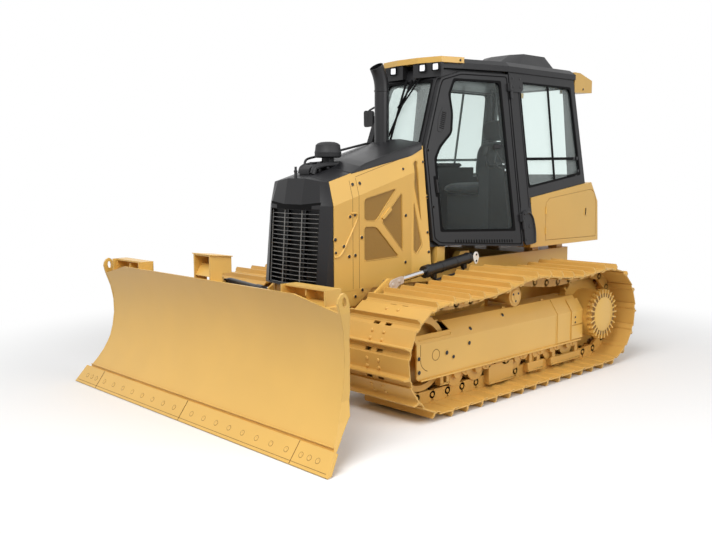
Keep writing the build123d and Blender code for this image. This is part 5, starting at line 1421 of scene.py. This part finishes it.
# ---- cab
@dataclass
class Cab:
    """The cab's trim: glass seals, window bars, door hardware, hinges, wipers, mirror, lamps and bolts."""

    foot: tuple[float, float] = (640.0, 1000.0)
    lean_in: float = 0.1326
    bend_x: float = 440.0
    turn_in: float = 0.2379
    screen_foot_x: float = 1322.0
    screen_lean: float = 0.3695
    waist_z: float = 1762.0
    door_glass: tuple = ((520, 1118), (1238, 1140), (1232, 1700), (1175, 1795), (1062, 1900), (1036, 2050),
                         (1046, 2200), (985, 2318), (530, 2318))
    door_edge: tuple = ((458, 1000), (1256, 1049), (1304, 1084), (1304, 1760), (1124, 2250), (1092, 2310),
                        (910, 2362), (458, 2362))
    side_window: tuple = ((300, 1460), (-505, 1562), (-470, 2325), (300, 2325))
    lens_y: tuple[float, ...] = (157.0, 293.0)
    lens_z: float = 2403.0
    lens_x: float = 1151.5

    def on_side(self, outline: np.ndarray | list | tuple, out: float = 0) -> np.ndarray:
        """An (x, z) outline laid on the left side's face, which leans in going up, and forward of the bend.

        Args:
            outline: (x, z) corners.
            out: how far outside the face.

        Returns:
            points, shape (n, 3).
        """
        x, z = np.asarray(outline, float).T
        y = self.foot[0] - self.lean_in * (z - self.foot[1]) - self.turn_in * np.maximum(x - self.bend_x, 0)
        return np.stack([x, y + out, z], axis=1)

    def spot(self, x: float, z: float, out: float = 0) -> tuple[float, ...]:
        """One point on that face, so far outside it."""
        return tuple(self.on_side([(x, z)], out)[0])

    def screen_x(self, z: np.ndarray | float) -> np.ndarray:
        """X of the windscreen's plane: upright to the waist, then leaning back."""
        return self.screen_foot_x - self.screen_lean * np.maximum(np.asarray(z, float) - self.waist_z, 0)

    def seal(self, made: Skin, outline: tuple, radius: float, wide: float) -> None:
        """A rubber frame round a window, its corners rounded.

        Args:
            made: the skin that takes it.
            outline: the opening's (x, z) corners.
            radius: how far its inner corners are rounded.
            wide: how far it covers the glass.
        """
        shape = np.array(outline, float)
        outer = self.on_side(rounded(offset(shape, 5), radius * 0.4, 5), 1.5)
        inner = self.on_side(rounded(offset(shape, -wide), radius, 5), 1.5)
        made.frame(outer, inner, (0, -12, 0))

    def line(self, made: Skin, path: list, wide: float, high: float, out: float = 0, finish: int = 0) -> None:
        """A flat bar along an (x, z) line on the side's face.

        Args:
            made: the skin that takes it.
            path: (x, z) corners.
            wide: its width.
            high: its height.
            out: how far outside the face it lies.
            finish: which finish.
        """
        half = wide / 2
        section = np.array([(-half, -2), (half, -2), (half, high - 1), (half - 1, high), (1 - half, high),
                            (-half, high - 1)]) * (-1, 1)
        made.sweep(section, self.on_side(path, out), up=ACROSS, finish=finish)

    def doors(self, finishes: Finishes) -> None:
        """On each door: glass seal, slotted vent, handle in its pocket, sill slots, edge line and bolts; the
        slots are dark strips of painted shade.
        """
        made = Skin()
        self.seal(made, self.door_glass, 36, 14)
        vent = [(1118, 2092), (1078, 2078), (1076, 2018), (1148, 1898), (1184, 1906), (1166, 2010)]
        made.prism(self.on_side(rounded(vent, 10, 4), -1), (0, 4, 0), 1)
        # the vent's slots are dark strips: painted shade
        for share in np.linspace(0.1, 0.9, 9):
            x, z = 1106 + 48 * share, 2066 - 150 * share
            self.line(made, [(x - 22, z - 4), (x + 16, z + 6)], 5, 2.6, 2.8, finish=2)
        pocket = rounded([(1262, 1566), (1232, 1562), (1226, 1406), (1256, 1400)], 14, 5)
        made.prism(self.on_side(pocket, -1), (0, 3, 0), 2)
        self.line(made, [(1246, 1534), (1243, 1436)], 15, 16, 2, finish=1)
        # the sill slots are dark strips: painted shade
        for x in np.arange(560, 1130, 25):
            foot = 1022 + 0.045 * (x - 560)
            self.line(made, [(x, foot), (x, foot + 24)], 11, 1.8, 0, finish=2)
        edge = self.on_side(rounded(self.door_edge, 22, 4), 0.8)
        inside = self.on_side(rounded(offset(self.door_edge, -9), 18, 4), 0.8)
        made.frame(edge, inside, (0, -3, 0), 2)
        for z in (1762, 1330):
            made.plug(self.spot(1288, z), (0.2, 1, 0.1), 8, 1, 2)
        made.pair("door_trim", "door", [finishes.rubber, finishes.charcoal, finishes.rubber], Slot.BLACK)

    def latches(self, finishes: Finishes) -> None:
        """Inside each door: the bent pull and lever, the latch's case and two knobs, which wear the lens
        finish and its painted glow.
        """
        inner = Skin()
        pull = self.on_side([(618, 1800), (594, 1752), (616, 1676), (578, 1620), (520, 1606)], -46)
        inner.pipe(smooth_path(pull, 30), 8, 10, up=ACROSS)
        lever = self.on_side([(624, 1792), (575, 1700), (532, 1656)], -34)
        inner.pipe(smooth_path(lever, 20), 6.5, 10, up=ACROSS)
        inner.block((500, 478, 1776), (660, 494, 1812), 5)
        # the knobs wear the lens finish with its painted glow
        for x, z in ((532, 1656), (518, 1606)):
            inner.lathe([(4, -10), (9, -6), (10, 0), (9, 6), (4, 10)], self.spot(x, z, -40), ACROSS, 12, 1)
        inner.pair("door_latch", "door", [finishes.black, finishes.lens], Slot.BLACK)

    def sides(self, finishes: Finishes) -> None:
        """The rear side windows: seals, sliding bars and catches."""
        made = Skin()
        self.seal(made, self.side_window, 40, 12)
        self.line(made, [(-118, 2322), (-92, 1512)], 26, 5, -5)
        self.line(made, [(296, 1695), (-500, 1702)], 24, 5, -5)
        self.line(made, [(-300, 1548), (-496, 1572)], 16, 12, -4)
        for x, z in ((-430, 1560), (-470, 1590), (-470, 1702), (-420, 1702)):
            made.plug(self.spot(x, z, 2), ACROSS, 10, 1, 1)
        made.both().piece("side_window_seals", "chassis", [finishes.rubber, finishes.steel], Slot.BLACK)

    def hinges(self, finishes: Finishes) -> None:
        """Beside each door: the upper hinge's plate, the lower one's cover and arch, bolts and post lines."""
        iron = Skin()
        plate = rounded([(438, 2384), (262, 2384), (262, 2262), (300, 2240), (438, 2240)], 14, 4)
        iron.prism(self.on_side(plate, -2), (0, 10, 0))
        low = rounded([(438, 1262), (356, 1280), (296, 1236), (274, 1120), (286, 1000), (438, 992)], 26, 5)
        iron.prism(self.on_side(low, -2), (0, 16, 0))
        arch = self.on_side([(424, 1244), (352, 1262), (300, 1216), (286, 1100), (300, 1010)], 15)
        iron.pipe(smooth_path(arch, 40), 9, 10, up=ACROSS)
        upper = [(x, z, 8, 8) for x in (300, 400) for z in (2350, 2282)]
        lower = [(357, 1145, 15, 13.5), (412, 1210, 9, 13.5), (412, 1036, 9, 13.5)]
        for x, z, radius, out in upper + lower:
            iron.plug(self.spot(x, z, out), ACROSS, radius, 0, 1, 6)
        self.line(iron, [(436, 2396), (436, 1300)], 10, 5)
        self.line(iron, [(318, 2240), (318, 1290)], 8, 4)
        iron.both().piece("cab_hinges", "chassis", [finishes.charcoal, finishes.steel], Slot.STEEL, bevel=1.5)

    def screen(self, finishes: Finishes) -> None:
        """The windscreen's seal, and its two wipers with their motors."""
        made = Skin()
        corners = [(262, 1800), (236, 2306), (-236, 2306), (-262, 1800)]
        outer, inner = (facing(line, self.screen_x(line[:, 1]) + 3) for line in
                        (rounded(offset(corners, 6), 12, 5), rounded(offset(corners, -10), 34, 5)))
        made.frame(outer, inner, (-14, 0, -5))
        z = np.array([2322, 2160, 1850])
        section = np.array([(-5, -9), (5, -9), (7, 3), (2, 9), (-2, 9), (-7, 3)])
        motor_z = 2330
        for y_blade, y_arm in ((np.array([-24, -30, -38]), 84), (np.array([36, 0, -74]), 120)):
            made.sweep(section, np.stack([self.screen_x(z) + 20, y_blade, z], axis=1), up=ACROSS)
            arm = [(self.screen_x(motor_z) + 24, y_arm, motor_z),
                   (self.screen_x(2250) + 40, y_arm - 30, 2250),
                   (self.screen_x(2100) + 34, float(y_blade[1]) - 6, 2100)]
            made.pipe(smooth_path(arm, 60), 6.5, 8, up=ACROSS)
            made.lathe([(18, 0), (18, 18), (12, 26)],
                       (self.screen_x(motor_z) + 4, y_arm, motor_z), (1, 0, 0.4), 16)
        made.piece("wipers", "chassis", [finishes.rubber], Slot.BLACK)

    def mirror(self, finishes: Finishes) -> None:
        """A rounded mirror on a bent arm at the right front post, drawn on the left and turned over."""
        made = Skin()
        arm = [(1170, 238, 2120), (1205, 310, 2128), (1238, 368, 2092), (1238, 368, 2010)]
        made.pipe(smooth_path(arm, 26), 8, 10, up=(1, 0, 0.2))
        case = rounded([(306, 2094), (306, 1968), (408, 1962), (410, 2100)], 24, 6)
        made.prism(facing(case, 1222), (20, 4, 0))
        glass = rounded([(314, 2086), (314, 1976), (401, 1970), (402, 2092)], 20, 6)
        made.prism(facing(glass, 1219.5), (3, 0, 0), 1)
        made.mirrored().piece("mirror", "chassis", [finishes.steel, finishes.chrome], Slot.BLACK, bevel=2)

    def lamp_face(self, y: float, half_y: float, half_z: float, radius: float) -> np.ndarray:
        """A square with rounded corners round one lamp's middle, in the lenses' plane.

        Args:
            y: the lamp's place across.
            half_y: half its width.
            half_z: half its height.
            radius: how far its corners are rounded.

        Returns:
            points, shape (n, 3).
        """
        signs = np.array([(-1, -1), (1, -1), (1, 1), (-1, 1)]) * (math.copysign(1, y), 1)
        return facing(rounded(signs * (half_y, half_z) + (y, self.lens_z), radius, 4), self.lens_x - 2)

    def lamps(self, finishes: Finishes) -> None:
        """Four work lamps under the visor, each a bezel and a white lens with a faint painted glow."""
        made = Skin()
        for y in [side.value * y for side in Side for y in self.lens_y]:
            bezel, lens = self.lamp_face(y, 36, 32, 9), self.lamp_face(y, 28, 24, 7)
            made.frame(bezel, lens, (8, 0, 0)).prism(lens, (4, 0, 0), 1)
        made.piece("work_lamps", "chassis", [finishes.rubber, finishes.lens], Slot.BLACK)

    def service_handles(self, finishes: Finishes) -> None:
        """The slotted pull on each rear service door."""
        pull = Skin()
        pull.plate_y(rounded([(-540, 1268), (-586, 1264), (-574, 1192), (-530, 1196)], 8, 4), 597, 603)
        pull.plate_y(rounded([(-548, 1262), (-562, 1260), (-554, 1198), (-540, 1200)], 5, 4), 600, 604.5, 1)
        pull.pair("service_handle", "service_door", [finishes.yellow, finishes.rubber], Slot.BLACK)

    def bolts(self, finishes: Finishes) -> None:
        """The bolts at the visor's ends and at the roof's rear corners."""
        made = Skin()
        for side in Side:
            way = side.value
            made.plug((940, 362 * way, 2462), (0.3, way, 0), 9)
            made.plug((-696, 455.5 * way, 2328), (0, way, 0), 10)
        made.piece("visor_bolts", "chassis", [finishes.yellow, finishes.steel], Slot.STEEL)

    def build(self, finishes: Finishes) -> None:
        """All of it."""
        self.doors(finishes)
        self.latches(finishes)
        self.sides(finishes)
        self.hinges(finishes)
        self.screen(finishes)
        self.mirror(finishes)
        self.lamps(finishes)
        self.service_handles(finishes)
        self.bolts(finishes)


@dataclass
class Inside:
    """What shows through the glass: levers, armrests, monitor, belt, headlining and the tank's liner."""

    lever_y: float = 292.0
    tank_z: float = 1378.0
    tank_front_x: float = 290.0
    tank_rise: float = 0.12366

    def controls(self, finishes: Finishes) -> None:
        """Levers with shaped knobs, armrests, a monitor on a stalk and the belt's upper end."""
        made = Skin()
        for side in Side:
            y = side.value * self.lever_y
            made.block((150, y - 44, 1630), (470, y + 44, 1668), 14)
            stick = [(500, y, 1630), (512, y, 1680), (506, y, 1722)]
            made.pipe(smooth_path(stick, 20), 10, 10, up=ACROSS)
            made.lathe([(10, 0), (19, 12), (23, 34), (24, 62), (20, 82), (8, 90)],
                       (506, y, 1716), (-0.15, 0, 1), 16)
        made.block((1120, 60, 1700), (1150, 250, 1836), 10)
        made.pipe(np.array([(1140, 150, 1660), (1140, 150, 1720)]), 12, 10, up=ACROSS)
        belt = smooth_path([(-120, -150, 1880), (-150, -170, 2160), (-130, -140, 2330)], 60)
        made.pipe(belt, 7, 8, up=ACROSS)
        made.piece("cab_controls", "chassis", [finishes.black], Slot.BLACK, bevel=3)

    @staticmethod
    def headlining(finishes: Finishes) -> None:
        """A flat lining under the roof: four outlines, one over the other, the outer two drawn in."""
        lining = Skin()
        flat = rounded([(1040, 250), (460, 400), (-480, 400), (-480, -400), (460, -400),
                        (1040, -250)], 60, 5)
        rings = [np.stack([flat[:, 0] * share, flat[:, 1] * share, np.full(len(flat), z)], axis=1)
                 for share, z in ((0.97, 2330), (1, 2338), (1, 2352), (0.97, 2358))]
        lining.grid(np.stack(rings)).piece("headlining", "chassis", [finishes.charcoal], Slot.DARK)

    def top(self, x: float) -> float:
        """Height just over the tank's top, which rises rearwards."""
        return self.tank_z + self.tank_rise * (self.tank_front_x - x)

    def liner(self, finishes: Finishes) -> None:
        """Dark panels over the tank inside the cab: its sloping tops, its inner sides and its front faces."""
        made = Skin()
        foot, rear, top = 1030, -560, self.top
        made.plate_y([(286, top(286)), (rear, top(rear)), (rear, top(rear) + 5), (286, top(286) + 5)],
                     398, 548)
        made.plate_y([(-252, foot), (-252, top(-252) + 4), (-258.5, top(-252) + 4), (-258.5, foot)], 0, 397)
        made.plate_y([(-256, top(-256)), (rear, top(rear)), (rear, top(rear) + 5), (-256, top(-256) + 5)],
                     0, 398.5)
        made.plate_y([(294, foot), (-256, foot), (-256, top(-256) + 5), (294, top(294) + 5)], 392, 398.5)
        made.plate_y([(297, foot), (291.5, foot), (291.5, top(294) + 4), (297, top(294) + 4)], 393, 546)
        made.both().piece("cab_liner", "chassis", [finishes.black], Slot.DARK, bevel=1.5)

    def build(self, finishes: Finishes) -> None:
        """All of it."""
        self.controls(finishes)
        self.headlining(finishes)
        self.liner(finishes)


# ---- blade
@dataclass
class BladeTrim:
    """The blade's bolts, seams and bolt rings in painted shade, bead and gussets, its guard's lid and the
    pads on its back.
    """

    foot: tuple[float, float] = (3350.0, 4.0)
    top: tuple[float, float] = (3261.0, 123.0)
    bolt_share: float = 0.48

    def on_edge(self, share: float, y: float) -> tuple[float, float, float]:
        """A point on the cutting edge's face, so far up from its foot."""
        return (self.foot[0] + share * (self.top[0] - self.foot[0]), y,
                self.foot[1] + share * (self.top[1] - self.foot[1]))

    def face(self, finishes: Finishes) -> None:
        """Bolts in shallow rings along the edge, its seams, a bead over it, and gussets behind the blade; the
        seams, a dark ring round each bolt and a low line are painted shade.
        """
        made = Skin()
        out = unit(np.array([self.top[1] - self.foot[1], 0, self.foot[0] - self.top[0]]))
        places = [self.on_edge(self.bolt_share, y)
                  for y in (*np.linspace(105, 1070, 8), 1200, 1270, 1340)]
        for place in places:
            made.lathe([(15, -1), (15, 0.8), (13, 1.6), (9, 1.6), (7, 0.8)], place, out, 14)
        # the seams, the rings round the bolts and the low line wear the second finish: painted shade
        for y in (0, 1142):
            made.sweep([(-2.5, -1), (2.5, -1), (2.5, 0.9), (-2.5, 0.9)],
                       np.array([self.on_edge(0.03, y), self.on_edge(0.97, y)]), up=out, finish=1)
        for place in places:
            made.lathe([(17.5, -1), (17.5, 0.6), (15, 0.6), (15, -1)], place, out, 14, 1)
        low = np.array([self.on_edge(0.14, -0.5), self.on_edge(0.14, 1440)])
        made.sweep([(-1.5, -1), (1.5, -1), (1.5, 0.7), (-1.5, 0.7)], low, up=out, finish=1)
        bead = np.array([self.on_edge(1, -0.5), self.on_edge(1, 1395)]) + (-17, 0, 8)
        made.pipe(bead, 5, 8)
        for y in (822, 1010, 1203):
            made.plate_y([(3012, 944), (3094, 944), (3100, 905), (3080, 880), (3022, 880)], y - 5, y + 5)
        made.both().piece("blade_trim", "blade", [finishes.yellow, finishes.seam], Slot.YELLOW)

    @staticmethod
    def rear(finishes: Finishes) -> None:
        """The lid on the centre guard, and the pads and caps on the blade's back."""
        lid = Skin().plate_y([(2957, 1058), (3134, 1077), (3134, 1071), (2957, 1052)], -106, 106)
        lid.piece("guard_lid", "blade", [finishes.yellow], Slot.YELLOW, bevel=1)
        back = Skin()
        for y in (120, 480, 900):
            for z in (300, 520, 720):
                back.block((3050, y - 50, z - 4), (3084, y + 50, z + 4), 2)
        back.lathe([(19, 0), (19, 3), (14, 4)], (3008, 1052, 900), (-1, 0, 0), 18)
        back.both().piece("blade_back_ribs", "blade", [finishes.yellow], Slot.YELLOW)

    def build(self, finishes: Finishes) -> None:
        """Both."""
        self.face(finishes)
        self.rear(finishes)


# ---- hydraulic rams
@dataclass
class Rams:
    """Collars, ports, lines, straps and pin caps on the lift cylinders."""

    start: tuple[float, float, float] = (940.0, 496.0, 925.0)
    eye: tuple[float, float, float] = (1905.0, 496.0, 803.0)
    length: float = 560.0
    radius: float = 42.0
    strap_y: tuple[float, float] = (550.0, 561.0)
    cap_y: tuple[float, float] = (534.0, 541.0)

    def at(self, walked: float, shift: Place = (0, 0, 0)) -> np.ndarray:
        """A point so far along the left barrel's axis from its pin, and then moved."""
        start = np.array(self.start)
        return start + unit(np.array(self.eye) - start) * walked + shift

    def fittings(self, finishes: Finishes) -> None:
        """On each barrel: gland nut and base collar turned about its axis, ports, their line and bands."""
        made = Skin()
        r, along = self.radius, self.at(1) - self.start
        made.lathe([(r - 4, 0), (r + 7, 2), (r + 7, 44), (r + 3, 50), (r - 14, 50)],
                   self.at(self.length - 52), along, 28)
        made.lathe([(r - 4, 0), (r + 4, 3), (r + 4, 16), (r - 4, 20)], self.at(46), along, 28)
        for port in (110, 470):
            made.block(self.at(port, (-20, -10, -70)), self.at(port, (20, 26, -22)), 4)
        line = [self.at(470, (0, 8, -66)), self.at(452, (0, 10, -86)), self.at(150, (0, 10, -86)),
                self.at(100, (0, 8, -66))]
        made.pipe(smooth_path(line, 24), 9, 10, up=ACROSS)
        for band in (200, 370):
            made.sweep(ring(r + 2.5, 24), np.array([self.at(band), self.at(band + 22)]), up=ACROSS)
        made.pair("lift_ram_fittings", "lift_barrel", [finishes.steel], Slot.STEEL, 1.5)

    def straps(self, finishes: Finishes) -> None:
        """The bare plate and its two bolts outside each lift rod's eye."""
        made = Skin()
        strap = rounded([(-112, 52), (-74, 52), (6, 36), (34, 14), (34, -16), (10, -36), (-24, -36),
                         (-70, -4), (-112, 2)], 14, 4)
        made.plate_y(strap + (self.eye[0], self.eye[2]), *self.strap_y)
        for x, z in ((0, 0), (-62, 22)):
            made.plug((self.eye[0] + x, self.strap_y[1], self.eye[2] + z), ACROSS, 11, 0, 0)
        made.pair("lift_rod_strap", "lift_rod", [finishes.bare], Slot.CHROME, 1.5)

    def caps(self, finishes: Finishes) -> None:
        """The pale cap with two bolts over each barrel's pin."""
        made = Skin()
        oval = rounded([(-34, 8), (-34, -8), (-12, -52), (12, -52), (34, -8), (34, 8), (14, 44), (-14, 44)],
                       14, 4)
        made.plate_y(oval + (self.start[0], self.start[2]), *self.cap_y)
        for rise in (-28, 22):
            made.plug((self.start[0], self.cap_y[1], self.start[2] + rise), ACROSS, 9, 0, 1)
        made.pair("lift_pin_cap", "lift_barrel", [finishes.pale, finishes.rubber], Slot.ENGINE)

    def build(self, finishes: Finishes) -> None:
        """All of it."""
        self.fittings(finishes)
        self.straps(finishes)
        self.caps(finishes)


# ---- exhaust and air intake
@dataclass
class Breathing:
    """The exhaust stack with its bent outlet, and the pre-cleaner's bowl on its stalk."""

    stack: tuple[float, float] = (1422.0, -25.0)
    stack_radius: float = 57.0
    stack_foot: float = 1700.0
    stack_bend: float = 2290.0
    outlet: tuple[float, float] = (1482.0, 2405.0)
    outlet_radius: float = 55.0
    wall: float = 4.0
    bowl_x: float = 2013.0
    bowl_radius: float = 99.0
    bowl_low: float = 1702.0
    bowl_top: float = 1821.0

    def exhaust(self, finishes: Finishes) -> None:
        """The stack: circles along an upright that bends forward, which turn back at the mouth as its bore.

        The bend is the curve (1-t)^2 A + 2t(1-t) P + t^2 B from the upright through its corner to the mouth.
        """
        x, y = self.stack
        tip_x, tip_z = self.outlet
        line = np.array([(x, y, self.stack_foot), (x, y, self.stack_bend - 60), (x, y, self.stack_bend + 30),
                         (tip_x, y, tip_z)], float)
        t = np.linspace(0, 1, 11)[:, None]
        bend = (1 - t) ** 2 * line[1] + 2 * t * (1 - t) * line[2] + t ** 2 * line[3]
        path = np.concatenate([line[:1], bend])
        radius = np.concatenate([[self.stack_radius], np.linspace(self.stack_radius, self.outlet_radius, 11)])
        tangent = unit(np.gradient(path, axis=0))
        top = np.cross(tangent, ACROSS)
        circle = ring(1, 28)
        spokes = circle[None, :, :1] * ACROSS + circle[None, :, 1:] * top[:, None]
        outside = path[:, None] + radius[:, None, None] * spokes
        bore = path[:, None] + (radius[:, None, None] - self.wall) * spokes
        made = Skin().grid(np.concatenate([outside, bore[::-1][:8]]))
        for z in (1800, 2215):
            made.lathe([(58.5, 0), (60.5, 2), (60.5, 12), (58.5, 14)], (x, y, z), UPWARDS, 28)
        made.piece("exhaust_pipe", "chassis", [finishes.steel], Slot.STEEL, replaces=("exhaust_stack",))

    def intake(self, finishes: Finishes) -> None:
        """The pre-cleaner: a turned bowl with a domed lid, ribs under its rim and a stalk."""
        r, low, top = self.bowl_radius, self.bowl_low, self.bowl_top
        profile = [(34, low - 120), (34, low), (r - 14, low + 2), (r - 4, low + 9), (r - 1, low + 20),
                   (r - 1, low + 34), (r, low + 37), (r, low + 45), (r - 3, low + 50), (r - 9, top - 24),
                   (r - 24, top - 11), (r - 48, top - 3), (18, top), (4, top)]
        made = Skin().lathe(profile, (self.bowl_x, 0, 0), UPWARDS, 40)
        for turn in np.radians(np.arange(0, 360, 15)):
            out = np.array([math.cos(turn), math.sin(turn), 0])
            start = np.array([self.bowl_x, 0, low + 12]) + out * (r - 3.5)
            made.pipe(np.array([start, start + (0, 0, 22)]), 2.4, 6, up=(1, 0.3, 0))
        made.piece("precleaner_bowl", "chassis", [finishes.black], Slot.BLACK, replaces=("air_precleaner",))

    def build(self, finishes: Finishes) -> None:
        """Both."""
        self.exhaust(finishes)
        self.intake(finishes)


# ---- seat
@dataclass
class Seat:
    """The operator's seat: a cushion, a back and a headrest, each a stuffed pad with a sewn border."""

    cushion: tuple[tuple, tuple] = ((40.0, -225.0, 1390.0), (520.0, 225.0, 1500.0))
    back: tuple[tuple, tuple] = ((-52.0, -220.0, 1480.0), (60.0, 220.0, 1858.0))
    headrest: tuple[tuple, tuple] = ((-50.0, -150.0, 1862.0), (12.0, 150.0, 2046.0))

    @staticmethod
    def pad(low: tuple, high: tuple, thin: int, lean: float = 0, power: float = 4) -> np.ndarray:
        """A closed pillow grid.

        In the pad's plane each ring follows a superellipse |u|^n + |v|^n = share^n, and its thickness is
        (1 - share^4)^0.5 * (1 - share / 10) of the full one, so it is crowned in the middle and pulled in
        at the seam.

        Args:
            low: lowest corner.
            high: highest corner.
            thin: which axis is the thickness: 0 or 2.
            lean: how far the top moves back in X for each millimetre up.
            power: n.

        Returns:
            points[ring, round, 3], from the middle of one face over the seam to the middle of the other.
        """
        low, high = np.asarray(low, float), np.asarray(high, float)
        middle, half = (low + high) / 2, (high - low) / 2
        c, s = ring(1, 40).T
        reach = (np.abs(c) ** power + np.abs(s) ** power) ** (-1 / power)
        share = np.concatenate([np.linspace(0.04, 0.97, 10), [1], np.linspace(0.97, 0.04, 10)])
        way = np.concatenate([np.ones(10), [0], -np.ones(10)])
        thick = way * np.sqrt(np.maximum(1 - share ** 4, 0)) * (1 - 0.1 * share)
        u, v = share[:, None] * reach * c, share[:, None] * reach * s
        grid = np.zeros((*u.shape, 3))
        wide = (1, 2) if thin == 0 else (0, 1)
        grid[..., wide[0]], grid[..., wide[1]] = u, v
        grid[..., thin] = thick[:, None]
        grid = grid * half + middle
        grid[..., 0] -= lean * (grid[..., 2] - low[2])
        return grid

    def build(self, finishes: Finishes) -> None:
        """The three pads as separate padded pieces, in place of the plain seat solids."""
        pads = {"seat_cushion_pad": self.pad(*self.cushion, 2),
                "seat_back_pad": self.pad(*self.back, 0, 0.12), "headrest_pad": self.pad(*self.headrest, 0)}
        for number, (name, grid) in enumerate(pads.items()):
            piece = Skin().grid(grid).piece(name, "chassis", [finishes.fabric], Slot.FABRIC,
                                            replaces=("seat_cushions",) if number == 0 else ())
            smooth = piece.modifiers.new("soft", "SUBSURF")
            smooth.levels = smooth.render_levels = 1


# ---- studio
@dataclass
class Studio:
    """Pale floor, white surroundings, soft lamps and the camera.

    Places are in metres here, angles in degrees and the lens in millimetres.
    """

    camera_at: tuple[float, float, float] = (4.930, 4.654, 1.626)
    yaw: float = 226.31
    pitch: float = -6.69
    roll: float = -0.32
    lens: float = 42.55
    ambient: float = 0.47
    floor_tone: float = 0.88
    floor_half: float = 60.0
    fade: tuple[float, float] = (2.3, 4.6)

    def camera(self) -> None:
        """The camera: forward from yaw and pitch, and its side and up turned by the roll."""
        yaw, pitch, roll = (math.radians(angle) for angle in (self.yaw, self.pitch, self.roll))
        level = math.cos(pitch)
        forward = np.array([math.cos(yaw) * level, math.sin(yaw) * level, math.sin(pitch)])
        right = unit(np.cross(forward, (0, 0, 1)))
        up = np.cross(right, forward)
        side = math.cos(roll) * right + math.sin(roll) * up
        top = -math.sin(roll) * right + math.cos(roll) * up
        data = bpy.data.cameras.new("camera")
        data.lens, data.sensor_width = self.lens, 36.0
        data.clip_start, data.clip_end = 0.05, 200.0
        made = show("camera", data)
        matrix = np.eye(4)
        matrix[:3, 0], matrix[:3, 1], matrix[:3, 2], matrix[:3, 3] = side, top, -forward, self.camera_at
        made.matrix_world = Matrix(matrix.tolist())
        bpy.context.scene.camera = made

    @staticmethod
    def lamp(name: str, place: tuple, aim: tuple, size: float, power: float) -> None:
        """One square soft lamp.

        Args:
            name: its name.
            place: where it stands.
            aim: where it points.
            size: its side in metres.
            power: in watts.
        """
        data = bpy.data.lights.new(name, "AREA")
        data.shape, data.size, data.energy = "SQUARE", size, power
        made = show(name, data)
        made.location = place
        made.rotation_euler = (Vector(aim) - Vector(place)).to_track_quat("-Z", "Y").to_euler()

    @staticmethod
    def seen(shader: Shader) -> Socket:
        """Which rays see the surroundings.

        Args:
            shader: the shader that asks.

        Returns:
            1 for rays from the camera, off a mirror or through glass, 0 for light that fills the scene.
        """
        paths = shader.node("ShaderNodeLightPath", output="Is Camera Ray")
        glossy = Socket(shader, paths.socket.node.outputs["Is Glossy Ray"])
        through = Socket(shader, paths.socket.node.outputs["Is Transmission Ray"])
        return (paths + glossy + through).math("MINIMUM", 1.0)

    def world(self) -> None:
        """White surroundings as they are seen, and a dimmer even light from them."""
        world = bpy.data.worlds.new("studio")
        bpy.context.scene.world = world
        shader = Shader("studio light", world)
        shader.set(Color=WHITE, Strength=self.seen(shader) * (1.0 - self.ambient) + self.ambient)

    def floor(self) -> None:
        """A wide pale floor that fades, as a soft disc, to the white of the surroundings.

        The share is a smooth step of the distance from its middle, and the floor there glows at strength 1.
        """
        mesh = bpy.data.meshes.new("floor")
        wide = self.floor_half
        corners = [(-wide, -wide, 0), (wide, -wide, 0), (wide, wide, 0), (-wide, wide, 0)]
        mesh.from_pydata(corners, [], [(0, 1, 2, 3)])
        made = show("floor", mesh)
        shader = Shader("pale floor")
        x, y = shader.axis("X"), shader.axis("Y")
        far = (x * x + y * y).math("SQRT").step(*self.fade)
        tone = shader.blend(far, toned(WHITE, self.floor_tone), BLACK)
        glow = shader.blend(far, BLACK, WHITE)
        seen = shader.blend(self.seen(shader), BLACK, glow)
        shader.set(Base_Color=tone, Roughness=shader.noise(3.0) * 0.05 + 0.85, Specular_IOR_Level=0.0,
                   Emission_Color=seen, Emission_Strength=1.0)
        mesh.materials.append(shader.material)

    def build(self) -> None:
        """All of it."""
        bpy.context.scene.view_settings.view_transform = "Standard"
        self.camera()
        self.world()
        self.floor()
        self.lamp("key", (6.0, 2.5, 7.5), (0.0, 0.0, 0.9), 5.0, 600.0)
        self.lamp("side", (-1.0, 8.0, 5.0), (0.0, 0.0, 1.0), 5.0, 260.0)


def main() -> None:
    """Build every sub-assembly in order."""
    logging.basicConfig(level=logging.INFO, format="%(message)s")
    Studio().build()
    finishes = Finishes()
    dress_solids(finishes)
    for assembly in (Tracks(), Undercarriage(), Hood(), Nose(), Cab(), Inside(), BladeTrim(), Rams(),
                     Breathing(), Seat()):
        assembly.build(finishes)


if __name__ == "__main__":
    main()
